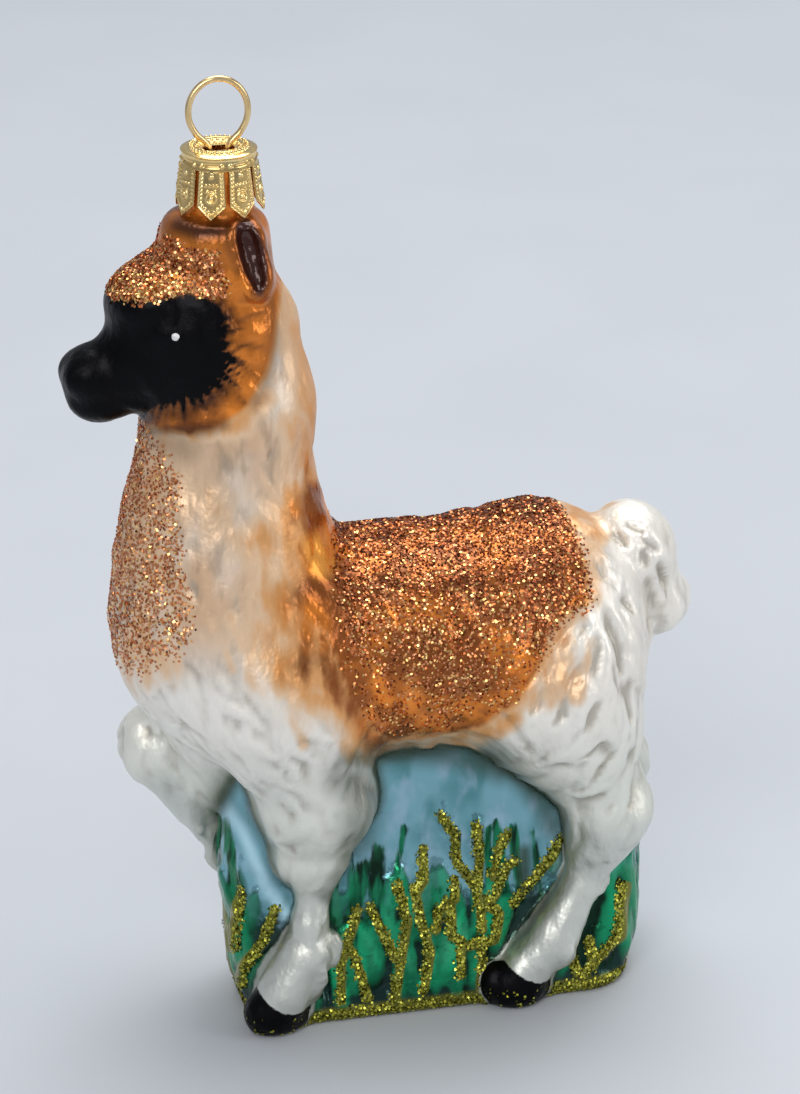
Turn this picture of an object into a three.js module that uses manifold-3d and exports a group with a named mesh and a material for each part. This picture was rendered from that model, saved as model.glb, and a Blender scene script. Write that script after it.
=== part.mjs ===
// A mouth-blown glass tree ornament: a llama stepping over a tuft of grass, hung by a stamped
// metal crown cap and a wire loop. Millimetres, +Z up. The llama looks along -Y, its left is +X.
import * as THREE from 'three';
import Module from 'manifold-3d';
import { mergeVertices } from 'three/addons/utils/BufferGeometryUtils.js';

const wasm = await Module();
wasm.setup();

// ---- driving dimensions -------------------------------------------------------------------
const GLASS_WALL = 1.2;
const PIKE_FORWARD = 26.6;        // the pike is the glass neck that the cap sits on
const PIKE_RADIUS = 4.2;
const PIKE_BORE_RADIUS = 3.3;
const PIKE_FOOT = 100;
const PIKE_TOP = 117;
const BORE_FACETS = 24;
const COLLAR_FORWARD = 27.2;      // the broad top of the head that the cap's hem rests on
const COLLAR_RADIUS = 6.4;
const COLLAR_FOOT = 98;
const COLLAR_TOP = 109.4;
const COLLAR_EDGE = 2.5;

const CAP_SHEET = 0.45;
const CAP_TOP = 118;
const CAP_HEIGHT = 8.1;
const CAP_TOP_RADIUS = 4.8;
const CAP_HEM_RADIUS = 5.75;
const CAP_SHOULDER = 1;
const CAP_WAIST_RADIUS = 4.9;     // at the top of the slits, where the skirt starts to flare
const CAP_FACETS = 40;
const PETALS = 8;
const SLIT_WIDTH = 0.5;
const SLIT_TOP = 2.2;             // below the cap's top
const POINT_RISE = 2.0;           // height of a petal's pointed tip
const POINT_WIDTH = 0.6;          // and its blunt end
const SLOT_WIDTH = 2.3;
const SLOT_LENGTH = 3.8;

const WIRE_RADIUS = 0.4;
const LOOP_HALF_WIDTH = 3.65;
const LOOP_HALF_HEIGHT = 4.05;
const LOOP_CENTRE = 122.0;
const LEG_GAP_AT_SLOT = 1.2;
const LEG_SPREAD = 2.6;
const LEG_FOOT = 105.5;
const WIRE_STEPS = 38;

const CUT_SPARE = 0.2;              // how far a cutter runs past what it cuts

// The grid of sample planes that the glass skins are drawn on: [start, end, step] runs.
const ACROSS_RUNS = [[-18.4, 18.4, 2.5]];
const ALONG_RUNS = [[-37, 18.2, 2.6], [18.2, 49, 2.4]];
const UP_RUNS = [[-4, 24.6, 2.4], [24.6, 82.6, 3.6], [82.6, 118.6, 2.2]];
const HOLLOW_RUNS = [[-18, 18, 4.2], [-37, 49, 5], [-2, 118, 5]];

// ---- the glass figure as rounded limbs ----------------------------------------------------
// Places are [across, forward, up]. A limb is a round cone between two places, a lump is an
// ellipsoid. blend is how softly it melts into what comes before it.
const limb = (from, to, radii, blend, widen = 1) => ({ from, to, radii, blend, widen });
const lump = (at, radii, blend, tilt = 0) => ({ at, radii, blend, tilt });
const bothSides = (piece) => ({ ...piece, mirrored: true });
const hollowedOut = (piece) => ({ ...piece, cut: true });

const TRUNK = [
  limb([0, 15, 51.1], [0, -14, 51.1], [14.1, 14.1], 4, 1.06),
  lump([0, -13.5, 53.8], [13.4, 13.2, 11.7], 4),
  lump([0, 26.8, 56.2], [14.2, 14.5, 18.2], 5),
];
const NECK = [
  limb([0, 26.9, 69], [0, 26, 84], [12.4, 10], 5, 0.92),
  limb([0, 26, 84], [0, 26, 94.3], [10, 8.8], 3, 0.92),
];
const THIGHS = [
  limb([6.4, -13.4, 46], [8.6, -21.8, 28], [12, 5.3], 3, 0.9),
  limb([-6.4, -16.5, 46], [-8.6, -26.8, 25.5], [11.8, 5], 3, 0.9),
];
const FOREARMS = [
  limb([6.6, 21, 48], [8, 16.8, 32], [11.6, 6.8], 4, 0.92),
  limb([7.6, 17, 31], [8, 17.7, 24.6], [7, 4.7], 2, 0.85),
  limb([-6.4, 23.6, 48], [-7.4, 33, 35.6], [10.8, 5.2], 3, 0.92),
  lump([-7.6, 34.2, 35], [4.8, 5.7, 5.3], 1.5),
  limb([-1, 28, 41], [-3.6, 27.6, 31.5], [6, 4], 3),
];
const TAIL = [
  limb([0, -26.2, 60.2], [0, -29.4, 52.8], [5.8, 4.5], 1.2, 1.15),
];
const SHINS = [
  limb([8.6, 17.5, 20.5], [8.9, 18.3, 15], [1.7, 2], 1),
  limb([8.9, 18.3, 15], [9, 18.4, 11], [2, 3.2], 1),
  limb([9, 18.8, 11], [9.2, 21.9, 5.4], [3.2, 3.5], 1),
  limb([-7.4, 33.2, 34], [-6.6, 26, 19.5], [4.8, 2.6], 1),
  limb([-6.6, 26, 19.5], [-7.2, 23, 12.5], [2.6, 2.6], 1),
  limb([-7.2, 23, 12.5], [-8.2, 19.5, 8], [2.8, 2.9], 1),
  limb([8.6, -21.8, 25.5], [9, -18.1, 16.2], [4.9, 2.4], 1),
  limb([9, -18.1, 16.2], [9.2, -14.6, 9.4], [2.4, 3.2], 1),
  limb([9.2, -14.6, 9.4], [9.2, -10.8, 5], [3.1, 3.2], 1),
  limb([-8.8, -26.8, 24.5], [-8.6, -24.6, 13.5], [4.8, 2.6], 1),
  limb([-8.6, -24.6, 13.5], [-8.8, -22.2, 9], [2.6, 3.2], 1),
  limb([-8.8, -22.2, 9], [-9, -19.2, 4.5], [3.2, 3.2], 1),
];
const HOOVES = [
  lump([9.2, 23.2, 2.8], [3.2, 4.2, 3.7], 0.8),
  lump([9.4, -9.4, 2.6], [3.2, 4.2, 3.6], 0.8),
  lump([-9.2, -19, 2.4], [3.2, 4.3, 3.6], 0.8),
  lump([-8.6, 18.2, 5], [2.8, 3.2, 3.4], 0.8),
];
const HEAD = [
  lump([0, 30.8, 96], [7.8, 9.8, 8], 2, 8),
  bothSides(lump([3.2, 28.6, 92], [5.3, 7, 7.2], 3)),
  limb([0, 35.8, 90.8], [0, 42.2, 89.4], [6.5, 4.5], 3, 0.88),
  bothSides(lump([1.7, 44.3, 90], [1.9, 2.3, 2.2], 1.4)),
  lump([0, 42, 86.5], [3.1, 4, 2.8], 1.2),
  lump([0, 36, 99.8], [6.3, 5.2, 3.5], 2, -24),
  bothSides(lump([5.6, 33.8, 96.4], [2, 2.4, 1.8], 1.2)),
  limb([0, 28, 99.6], [0, 27.8, 102.1], [7.2, 6.2], 4, 0.95),
];
const EARS = [
  bothSides(limb([6.2, 24, 102.6], [5.6, 24.5, 107.1], [2.5, 2], 1.5)),
  hollowedOut(bothSides(limb([8.5, 23.9, 102.9], [7.9, 24.9, 108.2], [0.9, 1.75], 0.5))),
];

// The tuft of grass between the legs: an upright slab, wider at its foot.
const GRASS_TOP = 44;
const GRASS_END_ROUND = 6.5;
const GRASS_HALF_WIDTH = [[-3, 9.4], [0, 9.4], [1.5, 9.2], [4, 8], [9, 6.9], [16, 6.3], [26, 6], [50, 6]];
const GRASS_FRONT = [[0, 25.6], [5, 26.2], [11, 26.6], [16, 27.2], [22, 28.2], [28, 27.6], [36, 27], [40, 22]];
const GRASS_BACK = [[0, -25.2], [2, -26.2], [5, -27.2], [12, -27.7], [20, -27.7], [40, -25]];

// ---- distance fields ----------------------------------------------------------------------
function softMin(a, b, blend) {
  const reach = Math.max(blend - Math.abs(a - b), 0) / blend;
  return Math.min(a, b) - reach * reach * blend / 4;
}

function softMax(a, b, blend) {
  return -softMin(-a, -b, blend);
}

function readProfile(profile, height) {
  const last = profile.length - 1;
  if (height <= profile[0][0]) return profile[0][1];
  if (height >= profile[last][0]) return profile[last][1];
  const upper = profile.findIndex(([at]) => at > height);
  const [lowAt, lowValue] = profile[upper - 1];
  const [highAt, highValue] = profile[upper];
  return lowValue + (highValue - lowValue) * (height - lowAt) / (highAt - lowAt);
}

function limbDistance({ from, to, radii, widen }, x, f, z) {
  const axis = [(to[0] - from[0]) / widen, to[1] - from[1], to[2] - from[2]];
  const point = [(x - from[0]) / widen, f - from[1], z - from[2]];
  const along = point[0] * axis[0] + point[1] * axis[1] + point[2] * axis[2];
  const lengthSquared = axis[0] ** 2 + axis[1] ** 2 + axis[2] ** 2;
  const t = THREE.MathUtils.clamp(along / lengthSquared, 0, 1);
  const away = Math.hypot(point[0] - axis[0] * t, point[1] - axis[1] * t, point[2] - axis[2] * t);
  const radius = THREE.MathUtils.lerp(radii[0], radii[1], t * t * (3 - 2 * t));
  return (away - radius) * Math.min(1, widen);
}

function lumpDistance({ at, radii, tilt }, x, f, z) {
  const angle = THREE.MathUtils.degToRad(tilt);
  const forward = f - at[1];
  const up = z - at[2];
  const local = [
    x - at[0],
    forward * Math.cos(angle) + up * Math.sin(angle),
    up * Math.cos(angle) - forward * Math.sin(angle),
  ];
  const scaled = Math.hypot(local[0] / radii[0], local[1] / radii[1], local[2] / radii[2]);
  const slope = Math.hypot(local[0] / radii[0] ** 2, local[1] / radii[1] ** 2, local[2] / radii[2] ** 2);
  return scaled * (scaled - 1) / Math.max(slope, 1e-6);
}

function addPieces(pieces, start, x, f, z) {
  let distance = start;
  for (const piece of pieces) {
    const across = piece.mirrored ? Math.abs(x) : x;
    const measure = piece.from ? limbDistance : lumpDistance;
    const other = measure(piece, across, f, z);
    distance = piece.cut ? softMax(distance, -other, piece.blend) : softMin(distance, other, piece.blend);
  }
  return distance;
}

function grassDistance(x, f, z) {
  const front = readProfile(GRASS_FRONT, z);
  const back = readProfile(GRASS_BACK, z);
  const outX = Math.abs(x) - readProfile(GRASS_HALF_WIDTH, z) + GRASS_END_ROUND;
  const outF = Math.abs(f - (front + back) / 2) - (front - back) / 2 + GRASS_END_ROUND;
  const outside = Math.hypot(Math.max(outX, 0), Math.max(outF, 0));
  const slab = outside + Math.min(Math.max(outX, outF), 0) - GRASS_END_ROUND;
  return softMax(slab, z - GRASS_TOP, 4);
}

function collarDistance(x, f, z) {
  const side = Math.max(Math.hypot(x, f - COLLAR_FORWARD) - COLLAR_RADIUS, COLLAR_FOOT - z);
  return softMax(side, z - COLLAR_TOP, COLLAR_EDGE);
}

const FAR = 1e3;
const GRASS_BLEND = 3.2;            // how softly the body melts into the grass
const LEG_BLEND = 2.2;
const HEAD_BLEND = 1.6;
const PIKE_BLEND = 0.8;
const SPARE_FOOT = 1.5;             // glass below the floor line, cut off flat afterwards
const bulk = [...TRUNK, ...NECK, ...THIGHS, ...FOREARMS];

function glassDistance(x, f, z) {
  let body = addPieces([...bulk, ...TAIL], FAR, x, f, z);
  body = softMin(body, grassDistance(x, f, z), GRASS_BLEND);
  body = softMin(body, addPieces([...SHINS, ...HOOVES], FAR, x, f, z), LEG_BLEND);
  const head = addPieces(EARS, addPieces(HEAD, collarDistance(x, f, z), x, f, z), x, f, z);
  const pikeSide = Math.hypot(x, f - PIKE_FORWARD) - PIKE_RADIUS;
  const pike = Math.max(pikeSide, z - PIKE_TOP, PIKE_FOOT - z);
  const whole = softMin(softMin(body, head, HEAD_BLEND), pike, PIKE_BLEND);
  return Math.max(whole, -SPARE_FOOT - z);
}

// The hollow inside leaves the thin shins, the hooves, the tail and the ears solid.
function hollowDistance(x, f, z) {
  let body = addPieces(bulk, FAR, x, f, z);
  body = softMin(body, grassDistance(x, f, z), GRASS_BLEND);
  const head = addPieces(HEAD, FAR, x, f, z);
  return Math.max(softMin(body, head, HEAD_BLEND), -z) + GLASS_WALL;
}

// ---- skins drawn from a distance field ----------------------------------------------------
function samplePlanes(runs) {
  const planes = [runs[0][0]];
  for (const [start, end, step] of runs) {
    const count = Math.round((end - start) / step);
    for (let i = 1; i <= count; i += 1) planes.push(start + (end - start) * i / count);
  }
  return planes;
}

const CORNERS = [0, 1, 2, 3, 4, 5, 6, 7].map((n) => [n & 1, (n >> 1) & 1, n >> 2]);
const EDGES = [];
for (let a = 0; a < 8; a += 1) {
  for (const bit of [1, 2, 4]) {
    if (!(a & bit)) EDGES.push([a, a | bit]);
  }
}

// One vertex in each cell that the surface crosses, one quad on each grid edge that crosses it.
function skinOf(distance, planes) {
  const [xs, fs, zs] = planes;
  const index = (i, j, k) => (i * fs.length + j) * zs.length + k;
  const values = new Float64Array(xs.length * fs.length * zs.length);
  xs.forEach((x, i) => fs.forEach((f, j) => zs.forEach((z, k) => {
    values[index(i, j, k)] = distance(x, f, z);
  })));
  const positions = [];
  const cellVertex = new Int32Array(values.length).fill(-1);
  for (let i = 0; i < xs.length - 1; i += 1) {
    for (let j = 0; j < fs.length - 1; j += 1) {
      for (let k = 0; k < zs.length - 1; k += 1) {
        const vertex = cellPoint(values, planes, index, i, j, k);
        if (!vertex) continue;
        cellVertex[index(i, j, k)] = positions.length / 3;
        positions.push(vertex[0], -vertex[1], vertex[2]);
      }
    }
  }
  const triangles = skinTriangles(values, cellVertex, index, planes);
  const geometry = new THREE.BufferGeometry();
  geometry.setAttribute('position', new THREE.Float32BufferAttribute(positions, 3));
  geometry.setIndex(triangles);
  return geometry;
}

function cellPoint(values, [xs, fs, zs], index, i, j, k) {
  const at = CORNERS.map(([a, b, c]) => values[index(i + a, j + b, k + c)]);
  const inside = at.filter((value) => value < 0).length;
  if (inside === 0 || inside === 8) return null;
  const sum = [0, 0, 0];
  let crossings = 0;
  for (const [a, b] of EDGES) {
    if ((at[a] < 0) === (at[b] < 0)) continue;
    const t = at[a] / (at[a] - at[b]);
    const [p, q] = [CORNERS[a], CORNERS[b]];
    sum[0] += THREE.MathUtils.lerp(xs[i + p[0]], xs[i + q[0]], t);
    sum[1] += THREE.MathUtils.lerp(fs[j + p[1]], fs[j + q[1]], t);
    sum[2] += THREE.MathUtils.lerp(zs[k + p[2]], zs[k + q[2]], t);
    crossings += 1;
  }
  return sum.map((value) => value / crossings);
}

function skinTriangles(values, cellVertex, index, [xs, fs, zs]) {
  const triangles = [];
  const steps = [[1, 0, 0], [0, 1, 0], [0, 0, 1]];
  for (let i = 0; i < xs.length - 1; i += 1) {
    for (let j = 0; j < fs.length - 1; j += 1) {
      for (let k = 0; k < zs.length - 1; k += 1) {
        steps.forEach((step, axis) => {
          const here = values[index(i, j, k)] < 0;
          const next = values[index(i + step[0], j + step[1], k + step[2])] < 0;
          if (here === next) return;
          const u = steps[(axis + 1) % 3];
          const v = steps[(axis + 2) % 3];
          const cell = (a, b) => cellVertex[
            index(i - a * u[0] - b * v[0], j - a * u[1] - b * v[1], k - a * u[2] - b * v[2])];
          const quad = [cell(1, 1), cell(0, 1), cell(0, 0), cell(1, 0)];
          if (here) quad.reverse();
          triangles.push(quad[0], quad[1], quad[2], quad[0], quad[2], quad[3]);
        });
      }
    }
  }
  return triangles;
}

// ---- solids -------------------------------------------------------------------------------
function solidOf(geometry) {
  geometry.deleteAttribute('normal');
  geometry.deleteAttribute('uv');
  const merged = mergeVertices(geometry, 1e-4);
  const vertProperties = new Float32Array(merged.attributes.position.array);
  const triVerts = new Uint32Array(merged.index.array);
  return new wasm.Manifold(new wasm.Mesh({ numProp: 3, vertProperties, triVerts }));
}

function geometryOf(solid) {
  const mesh = solid.getMesh();
  const geometry = new THREE.BufferGeometry();
  geometry.setAttribute('position', new THREE.BufferAttribute(mesh.vertProperties, 3));
  geometry.setIndex(new THREE.BufferAttribute(mesh.triVerts, 1));
  geometry.computeVertexNormals();
  return geometry;
}

function blockBetween(low, high) {
  const size = high.map((value, i) => value - low[i]);
  const middle = high.map((value, i) => (value + low[i]) / 2);
  return new THREE.BoxGeometry(...size).translate(...middle);
}

function upright(geometry) {
  return geometry.rotateX(Math.PI / 2);
}

function glassBodyGeometry() {
  const outer = skinOf(glassDistance, [ACROSS_RUNS, ALONG_RUNS, UP_RUNS].map(samplePlanes));
  const inner = skinOf(hollowDistance, HOLLOW_RUNS.map((run) => samplePlanes([run])));
  const boreLength = PIKE_TOP + 3 - PIKE_FOOT;
  const rod = new THREE.CylinderGeometry(PIKE_BORE_RADIUS, PIKE_BORE_RADIUS, boreLength, BORE_FACETS);
  const bore = upright(rod).translate(0, -PIKE_FORWARD, PIKE_FOOT + boreLength / 2);
  const underFloor = blockBetween([-30, -60, -10], [30, 60, 0]);
  const hollow = solidOf(inner).add(solidOf(bore));
  return geometryOf(solidOf(outer).subtract(hollow).subtract(solidOf(underFloor)));
}

// The cap is one stamped sheet: a disc with a slot, a rounded shoulder and a skirt of petals.
function capProfile() {
  const outer = [[0, 0], [CAP_TOP_RADIUS - CAP_SHOULDER, 0]];
  for (const turn of [30, 60, 90]) {
    const angle = THREE.MathUtils.degToRad(turn);
    const radius = CAP_TOP_RADIUS - CAP_SHOULDER + CAP_SHOULDER * Math.sin(angle);
    outer.push([radius, CAP_SHOULDER * (Math.cos(angle) - 1)]);
  }
  outer.push([CAP_WAIST_RADIUS, -SLIT_TOP], [CAP_HEM_RADIUS, -CAP_HEIGHT]);
  const inner = [
    [CAP_HEM_RADIUS - CAP_SHEET, -CAP_HEIGHT],
    [CAP_WAIST_RADIUS - CAP_SHEET, -SLIT_TOP],
    [CAP_TOP_RADIUS - CAP_SHEET, -CAP_SHOULDER],
    [CAP_TOP_RADIUS - CAP_SHOULDER, -CAP_SHEET],
    [0, -CAP_SHEET],
  ];
  return [...outer, ...inner].reverse().map(([radius, height]) => new THREE.Vector2(radius, height));
}

function petalGap() {
  const slit = SLIT_WIDTH / 2;
  const halfPitch = Math.PI * CAP_HEM_RADIUS / PETALS;
  const wide = halfPitch - POINT_WIDTH / 2;
  const hem = -CAP_HEIGHT - CUT_SPARE;
  const gap = new THREE.Shape([
    new THREE.Vector2(-slit, -SLIT_TOP),
    new THREE.Vector2(-slit, -CAP_HEIGHT + POINT_RISE),
    new THREE.Vector2(-wide, hem),
    new THREE.Vector2(wide, hem),
    new THREE.Vector2(slit, -CAP_HEIGHT + POINT_RISE),
    new THREE.Vector2(slit, -SLIT_TOP),
  ]);
  return upright(new THREE.ExtrudeGeometry(gap, { depth: CAP_HEM_RADIUS, bevelEnabled: false }))
    .translate(0, -3, 0);
}

function capGeometry() {
  let cap = solidOf(upright(new THREE.LatheGeometry(capProfile(), CAP_FACETS)));
  for (let petal = 0; petal < PETALS; petal += 1) {
    const gap = petalGap().rotateZ(petal * 2 * Math.PI / PETALS);
    cap = cap.subtract(solidOf(gap));
  }
  const slot = new THREE.BoxGeometry(SLOT_WIDTH, SLOT_LENGTH, 4 * CAP_SHEET);
  return geometryOf(cap.subtract(solidOf(slot)));
}

// The hanger is one length of wire: a round loop whose two legs spring apart inside the pike.
function hangerGeometry() {
  const leg = (side) => [
    new THREE.Vector3(0, side * LEG_SPREAD, LEG_FOOT),
    new THREE.Vector3(0, side * (LEG_SPREAD - 0.6), LEG_FOOT + 4),
    new THREE.Vector3(0, side * LEG_GAP_AT_SLOT, CAP_TOP - 0.6),
  ];
  const loop = [];
  for (let turn = -40; turn <= 220; turn += 26) {
    const angle = THREE.MathUtils.degToRad(turn);
    const up = LOOP_CENTRE + LOOP_HALF_HEIGHT * Math.sin(angle);
    loop.push(new THREE.Vector3(0, LOOP_HALF_WIDTH * Math.cos(angle), up));
  }
  const path = new THREE.CatmullRomCurve3([...leg(1), ...loop, ...leg(-1).reverse()]);
  const section = new THREE.Shape();
  section.absarc(0, 0, WIRE_RADIUS, 0, 2 * Math.PI);
  return new THREE.ExtrudeGeometry(section, { extrudePath: path, steps: WIRE_STEPS, curveSegments: 4 });
}

// ---- the ornament -------------------------------------------------------------------------
const ornament = new THREE.Group();
ornament.name = 'llama_ornament';

const glass = new THREE.MeshStandardMaterial({ color: 0xe4e0d6, roughness: 0.28, metalness: 0.15 });
const brass = new THREE.MeshStandardMaterial({ color: 0xcaa75c, roughness: 0.32, metalness: 0.95 });
const wire = new THREE.MeshStandardMaterial({ color: 0xc29a58, roughness: 0.25, metalness: 0.95 });

const figure = new THREE.Group();
const body = new THREE.Mesh(glassBodyGeometry(), glass);
body.name = 'glass_body';
const cap = new THREE.Mesh(capGeometry(), brass);
cap.name = 'cap';
cap.position.set(0, -PIKE_FORWARD, CAP_TOP);
const hanger = new THREE.Mesh(hangerGeometry(), wire);
hanger.name = 'hanger_ring';
hanger.position.set(0, -PIKE_FORWARD, 0);
figure.add(body, cap, hanger);

// The origin is the middle of the ornament's box, on the surface that it stands on.
const box = new THREE.Box3().setFromObject(figure);
figure.position.set(-(box.min.x + box.max.x) / 2, -(box.min.y + box.max.y) / 2, -box.min.z);
ornament.add(figure);

export default ornament;
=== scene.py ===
"""Looks of a mouth-blown glass llama ornament: painted glass, glitter, a stamped cap and a wire loop.

Shapes are worked out in the figure's own frame, in millimetres: [across, forward, up]. The llama
looks forward and its left side is +across. to_row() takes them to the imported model's frame.
"""

import math
from collections import namedtuple

import bmesh
import bpy
import numpy as np
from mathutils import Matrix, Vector


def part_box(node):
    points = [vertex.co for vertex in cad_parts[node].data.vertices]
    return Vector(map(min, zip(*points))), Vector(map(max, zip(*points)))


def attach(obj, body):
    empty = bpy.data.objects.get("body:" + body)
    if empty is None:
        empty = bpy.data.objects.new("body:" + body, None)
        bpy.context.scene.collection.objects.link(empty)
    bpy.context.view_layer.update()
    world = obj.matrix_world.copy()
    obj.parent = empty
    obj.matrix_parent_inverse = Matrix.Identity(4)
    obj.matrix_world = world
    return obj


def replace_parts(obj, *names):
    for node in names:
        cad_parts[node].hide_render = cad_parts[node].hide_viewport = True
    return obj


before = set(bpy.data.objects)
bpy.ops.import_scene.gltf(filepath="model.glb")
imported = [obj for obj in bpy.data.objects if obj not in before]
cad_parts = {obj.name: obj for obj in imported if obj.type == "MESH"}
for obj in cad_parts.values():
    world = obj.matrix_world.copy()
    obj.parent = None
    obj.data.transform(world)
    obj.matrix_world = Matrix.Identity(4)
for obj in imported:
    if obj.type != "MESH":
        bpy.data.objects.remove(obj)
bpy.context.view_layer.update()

# ---- sizes shared with the solids ---------------------------------------------------------

PIKE_FORWARD = 26.6
PIKE_RADIUS = 4.2
PIKE_BORE_RADIUS = 3.3
PIKE_BORE_FOOT = 104.0
PIKE_FOOT = 100.0
PIKE_TOP = 117.0
COLLAR_FORWARD = 27.2
COLLAR_RADIUS = 6.4
COLLAR_FOOT = 98.0
COLLAR_TOP = 109.4
COLLAR_EDGE = 2.5
CAP_TOP = 118.0
CAP_HEIGHT = 8.1
CAP_TOP_RADIUS = 4.8
CAP_HEM_RADIUS = 5.75

MM = 0.001
cap_low, cap_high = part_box("cap")
SHIFT = np.array([
    (cap_low[0] + cap_high[0]) / 2,
    (cap_low[1] + cap_high[1]) / 2 + PIKE_FORWARD * MM,
    cap_high[2] - CAP_TOP * MM,
])


def to_row(points):
    """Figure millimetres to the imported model's metres."""
    return np.asarray(points) * [MM, -MM, MM] + SHIFT


def turn_to_row(directions):
    return np.asarray(directions) * [1, -1, 1]


# ---- the glass figure as rounded limbs ----------------------------------------------------

Limb = namedtuple("Limb", "start end radii blend widen mirrored cut", defaults=(1.0, False, False))
Lump = namedtuple("Lump", "at radii blend tilt mirrored cut", defaults=(0.0, False, False))

TRUNK = [
    Limb((0, 15, 51.1), (0, -14, 51.1), (14.1, 14.1), 4, 1.06),
    Lump((0, -13.5, 53.8), (13.4, 13.2, 11.7), 4),
    Lump((0, 26.8, 56.2), (14.2, 14.5, 18.2), 5),
]
NECK = [
    Limb((0, 26.9, 69), (0, 26, 84), (12.4, 10), 5, 0.92),
    Limb((0, 26, 84), (0, 26, 94.3), (10, 8.8), 3, 0.92),
]
THIGHS = [
    Limb((6.4, -13.4, 46), (8.6, -21.8, 28), (12, 5.3), 3, 0.9),
    Limb((-6.4, -16.5, 46), (-8.6, -26.8, 25.5), (11.8, 5), 3, 0.9),
]
FOREARMS = [
    Limb((6.6, 21, 48), (8, 16.8, 32), (11.6, 6.8), 4, 0.92),
    Limb((7.6, 17, 31), (8, 17.7, 24.6), (7, 4.7), 2, 0.85),
    Limb((-6.4, 23.6, 48), (-7.4, 33, 35.6), (10.8, 5.2), 3, 0.92),
    Lump((-7.6, 34.2, 35), (4.8, 5.7, 5.3), 1.5),
    Limb((-1, 28, 41), (-3.6, 27.6, 31.5), (6, 4), 3),
]
TAIL = [
    Limb((0, -26.2, 60.2), (0, -29.4, 52.8), (5.8, 4.5), 1.2, 1.15),
]
SHINS = [
    Limb((8.6, 17.5, 20.5), (8.9, 18.3, 15), (1.7, 2), 1),
    Limb((8.9, 18.3, 15), (9, 18.4, 11), (2, 3.2), 1),
    Limb((9, 18.8, 11), (9.2, 21.9, 5.4), (3.2, 3.5), 1),
    Limb((-7.4, 33.2, 34), (-6.6, 26, 19.5), (4.8, 2.6), 1),
    Limb((-6.6, 26, 19.5), (-7.2, 23, 12.5), (2.6, 2.6), 1),
    Limb((-7.2, 23, 12.5), (-8.2, 19.5, 8), (2.8, 2.9), 1),
    Limb((8.6, -21.8, 25.5), (9, -18.1, 16.2), (4.9, 2.4), 1),
    Limb((9, -18.1, 16.2), (9.2, -14.6, 9.4), (2.4, 3.2), 1),
    Limb((9.2, -14.6, 9.4), (9.2, -10.8, 5), (3.1, 3.2), 1),
    Limb((-8.8, -26.8, 24.5), (-8.6, -24.6, 13.5), (4.8, 2.6), 1),
    Limb((-8.6, -24.6, 13.5), (-8.8, -22.2, 9), (2.6, 3.2), 1),
    Limb((-8.8, -22.2, 9), (-9, -19.2, 4.5), (3.2, 3.2), 1),
]
HOOVES = [
    Lump((9.2, 23.2, 2.8), (3.2, 4.2, 3.7), 0.8),
    Lump((9.4, -9.4, 2.6), (3.2, 4.2, 3.6), 0.8),
    Lump((-9.2, -19, 2.4), (3.2, 4.3, 3.6), 0.8),
    Lump((-8.6, 18.2, 5), (2.8, 3.2, 3.4), 0.8),
]
HEAD = [
    Lump((0, 30.8, 96), (7.8, 9.8, 8), 2, 8),
    Lump((3.2, 28.6, 92), (5.3, 7, 7.2), 3, mirrored=True),
    Limb((0, 35.8, 90.8), (0, 42.2, 89.4), (6.5, 4.5), 3, 0.88),
    Lump((1.7, 44.3, 90), (1.9, 2.3, 2.2), 1.4, mirrored=True),
    Lump((0, 42, 86.5), (3.1, 4, 2.8), 1.2),
    Lump((0, 36, 99.8), (6.3, 5.2, 3.5), 2, -24),
    Lump((5.6, 33.8, 96.4), (2, 2.4, 1.8), 1.2, mirrored=True),
    Limb((0, 28, 99.6), (0, 27.8, 102.1), (7.2, 6.2), 4, 0.95),
]
EARS = [
    Limb((6.2, 24, 102.6), (5.6, 24.5, 107.1), (2.5, 2), 1.5, mirrored=True),
    Limb((8.5, 23.9, 102.9), (7.9, 24.9, 108.2), (0.9, 1.75), 0.5, mirrored=True, cut=True),
]
GRASS_TOP = 44
GRASS_END_ROUND = 6.5
GRASS_HALF_WIDTH = [(-3, 9.4), (0, 9.4), (1.5, 9.2), (4, 8), (9, 6.9), (16, 6.3), (26, 6), (50, 6)]
GRASS_FRONT = [(0, 25.6), (5, 26.2), (11, 26.6), (16, 27.2), (22, 28.2), (28, 27.6), (36, 27), (40, 22)]
GRASS_BACK = [(0, -25.2), (2, -26.2), (5, -27.2), (12, -27.7), (20, -27.7), (40, -25)]
GRASS_TOP_BLEND = 4
GRASS_BLEND = 3.2  # how softly the body melts into the grass
LEG_BLEND = 2.2
HEAD_BLEND = 1.6
PIKE_BLEND = 0.8
BORE_BLEND = 0.3
FOOT_BLEND = 0.8

# ---- distance fields ----------------------------------------------------------------------

FAR = 1000.0
REACH = 7.0  # how far past a piece's own box it can still melt into its neighbours


def soft_min(a, b, blend):
    near = np.maximum(blend - np.abs(a - b), 0) / blend
    return np.minimum(a, b) - near * near * (blend / 4)


def soft_max(a, b, blend):
    return -soft_min(-a, -b, blend)


def limb_distance(piece, x, f, z):
    start, end = np.array(piece.start), np.array(piece.end)
    axis = (end - start) / [piece.widen, 1, 1]
    px, pf, pz = (x - start[0]) / piece.widen, f - start[1], z - start[2]
    t = np.clip((px * axis[0] + pf * axis[1] + pz * axis[2]) / (axis @ axis), 0, 1)
    away = np.sqrt((px - axis[0] * t) ** 2 + (pf - axis[1] * t) ** 2 + (pz - axis[2] * t) ** 2)
    radius = piece.radii[0] + (piece.radii[1] - piece.radii[0]) * t * t * (3 - 2 * t)
    return (away - radius) * min(1.0, piece.widen)


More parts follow.
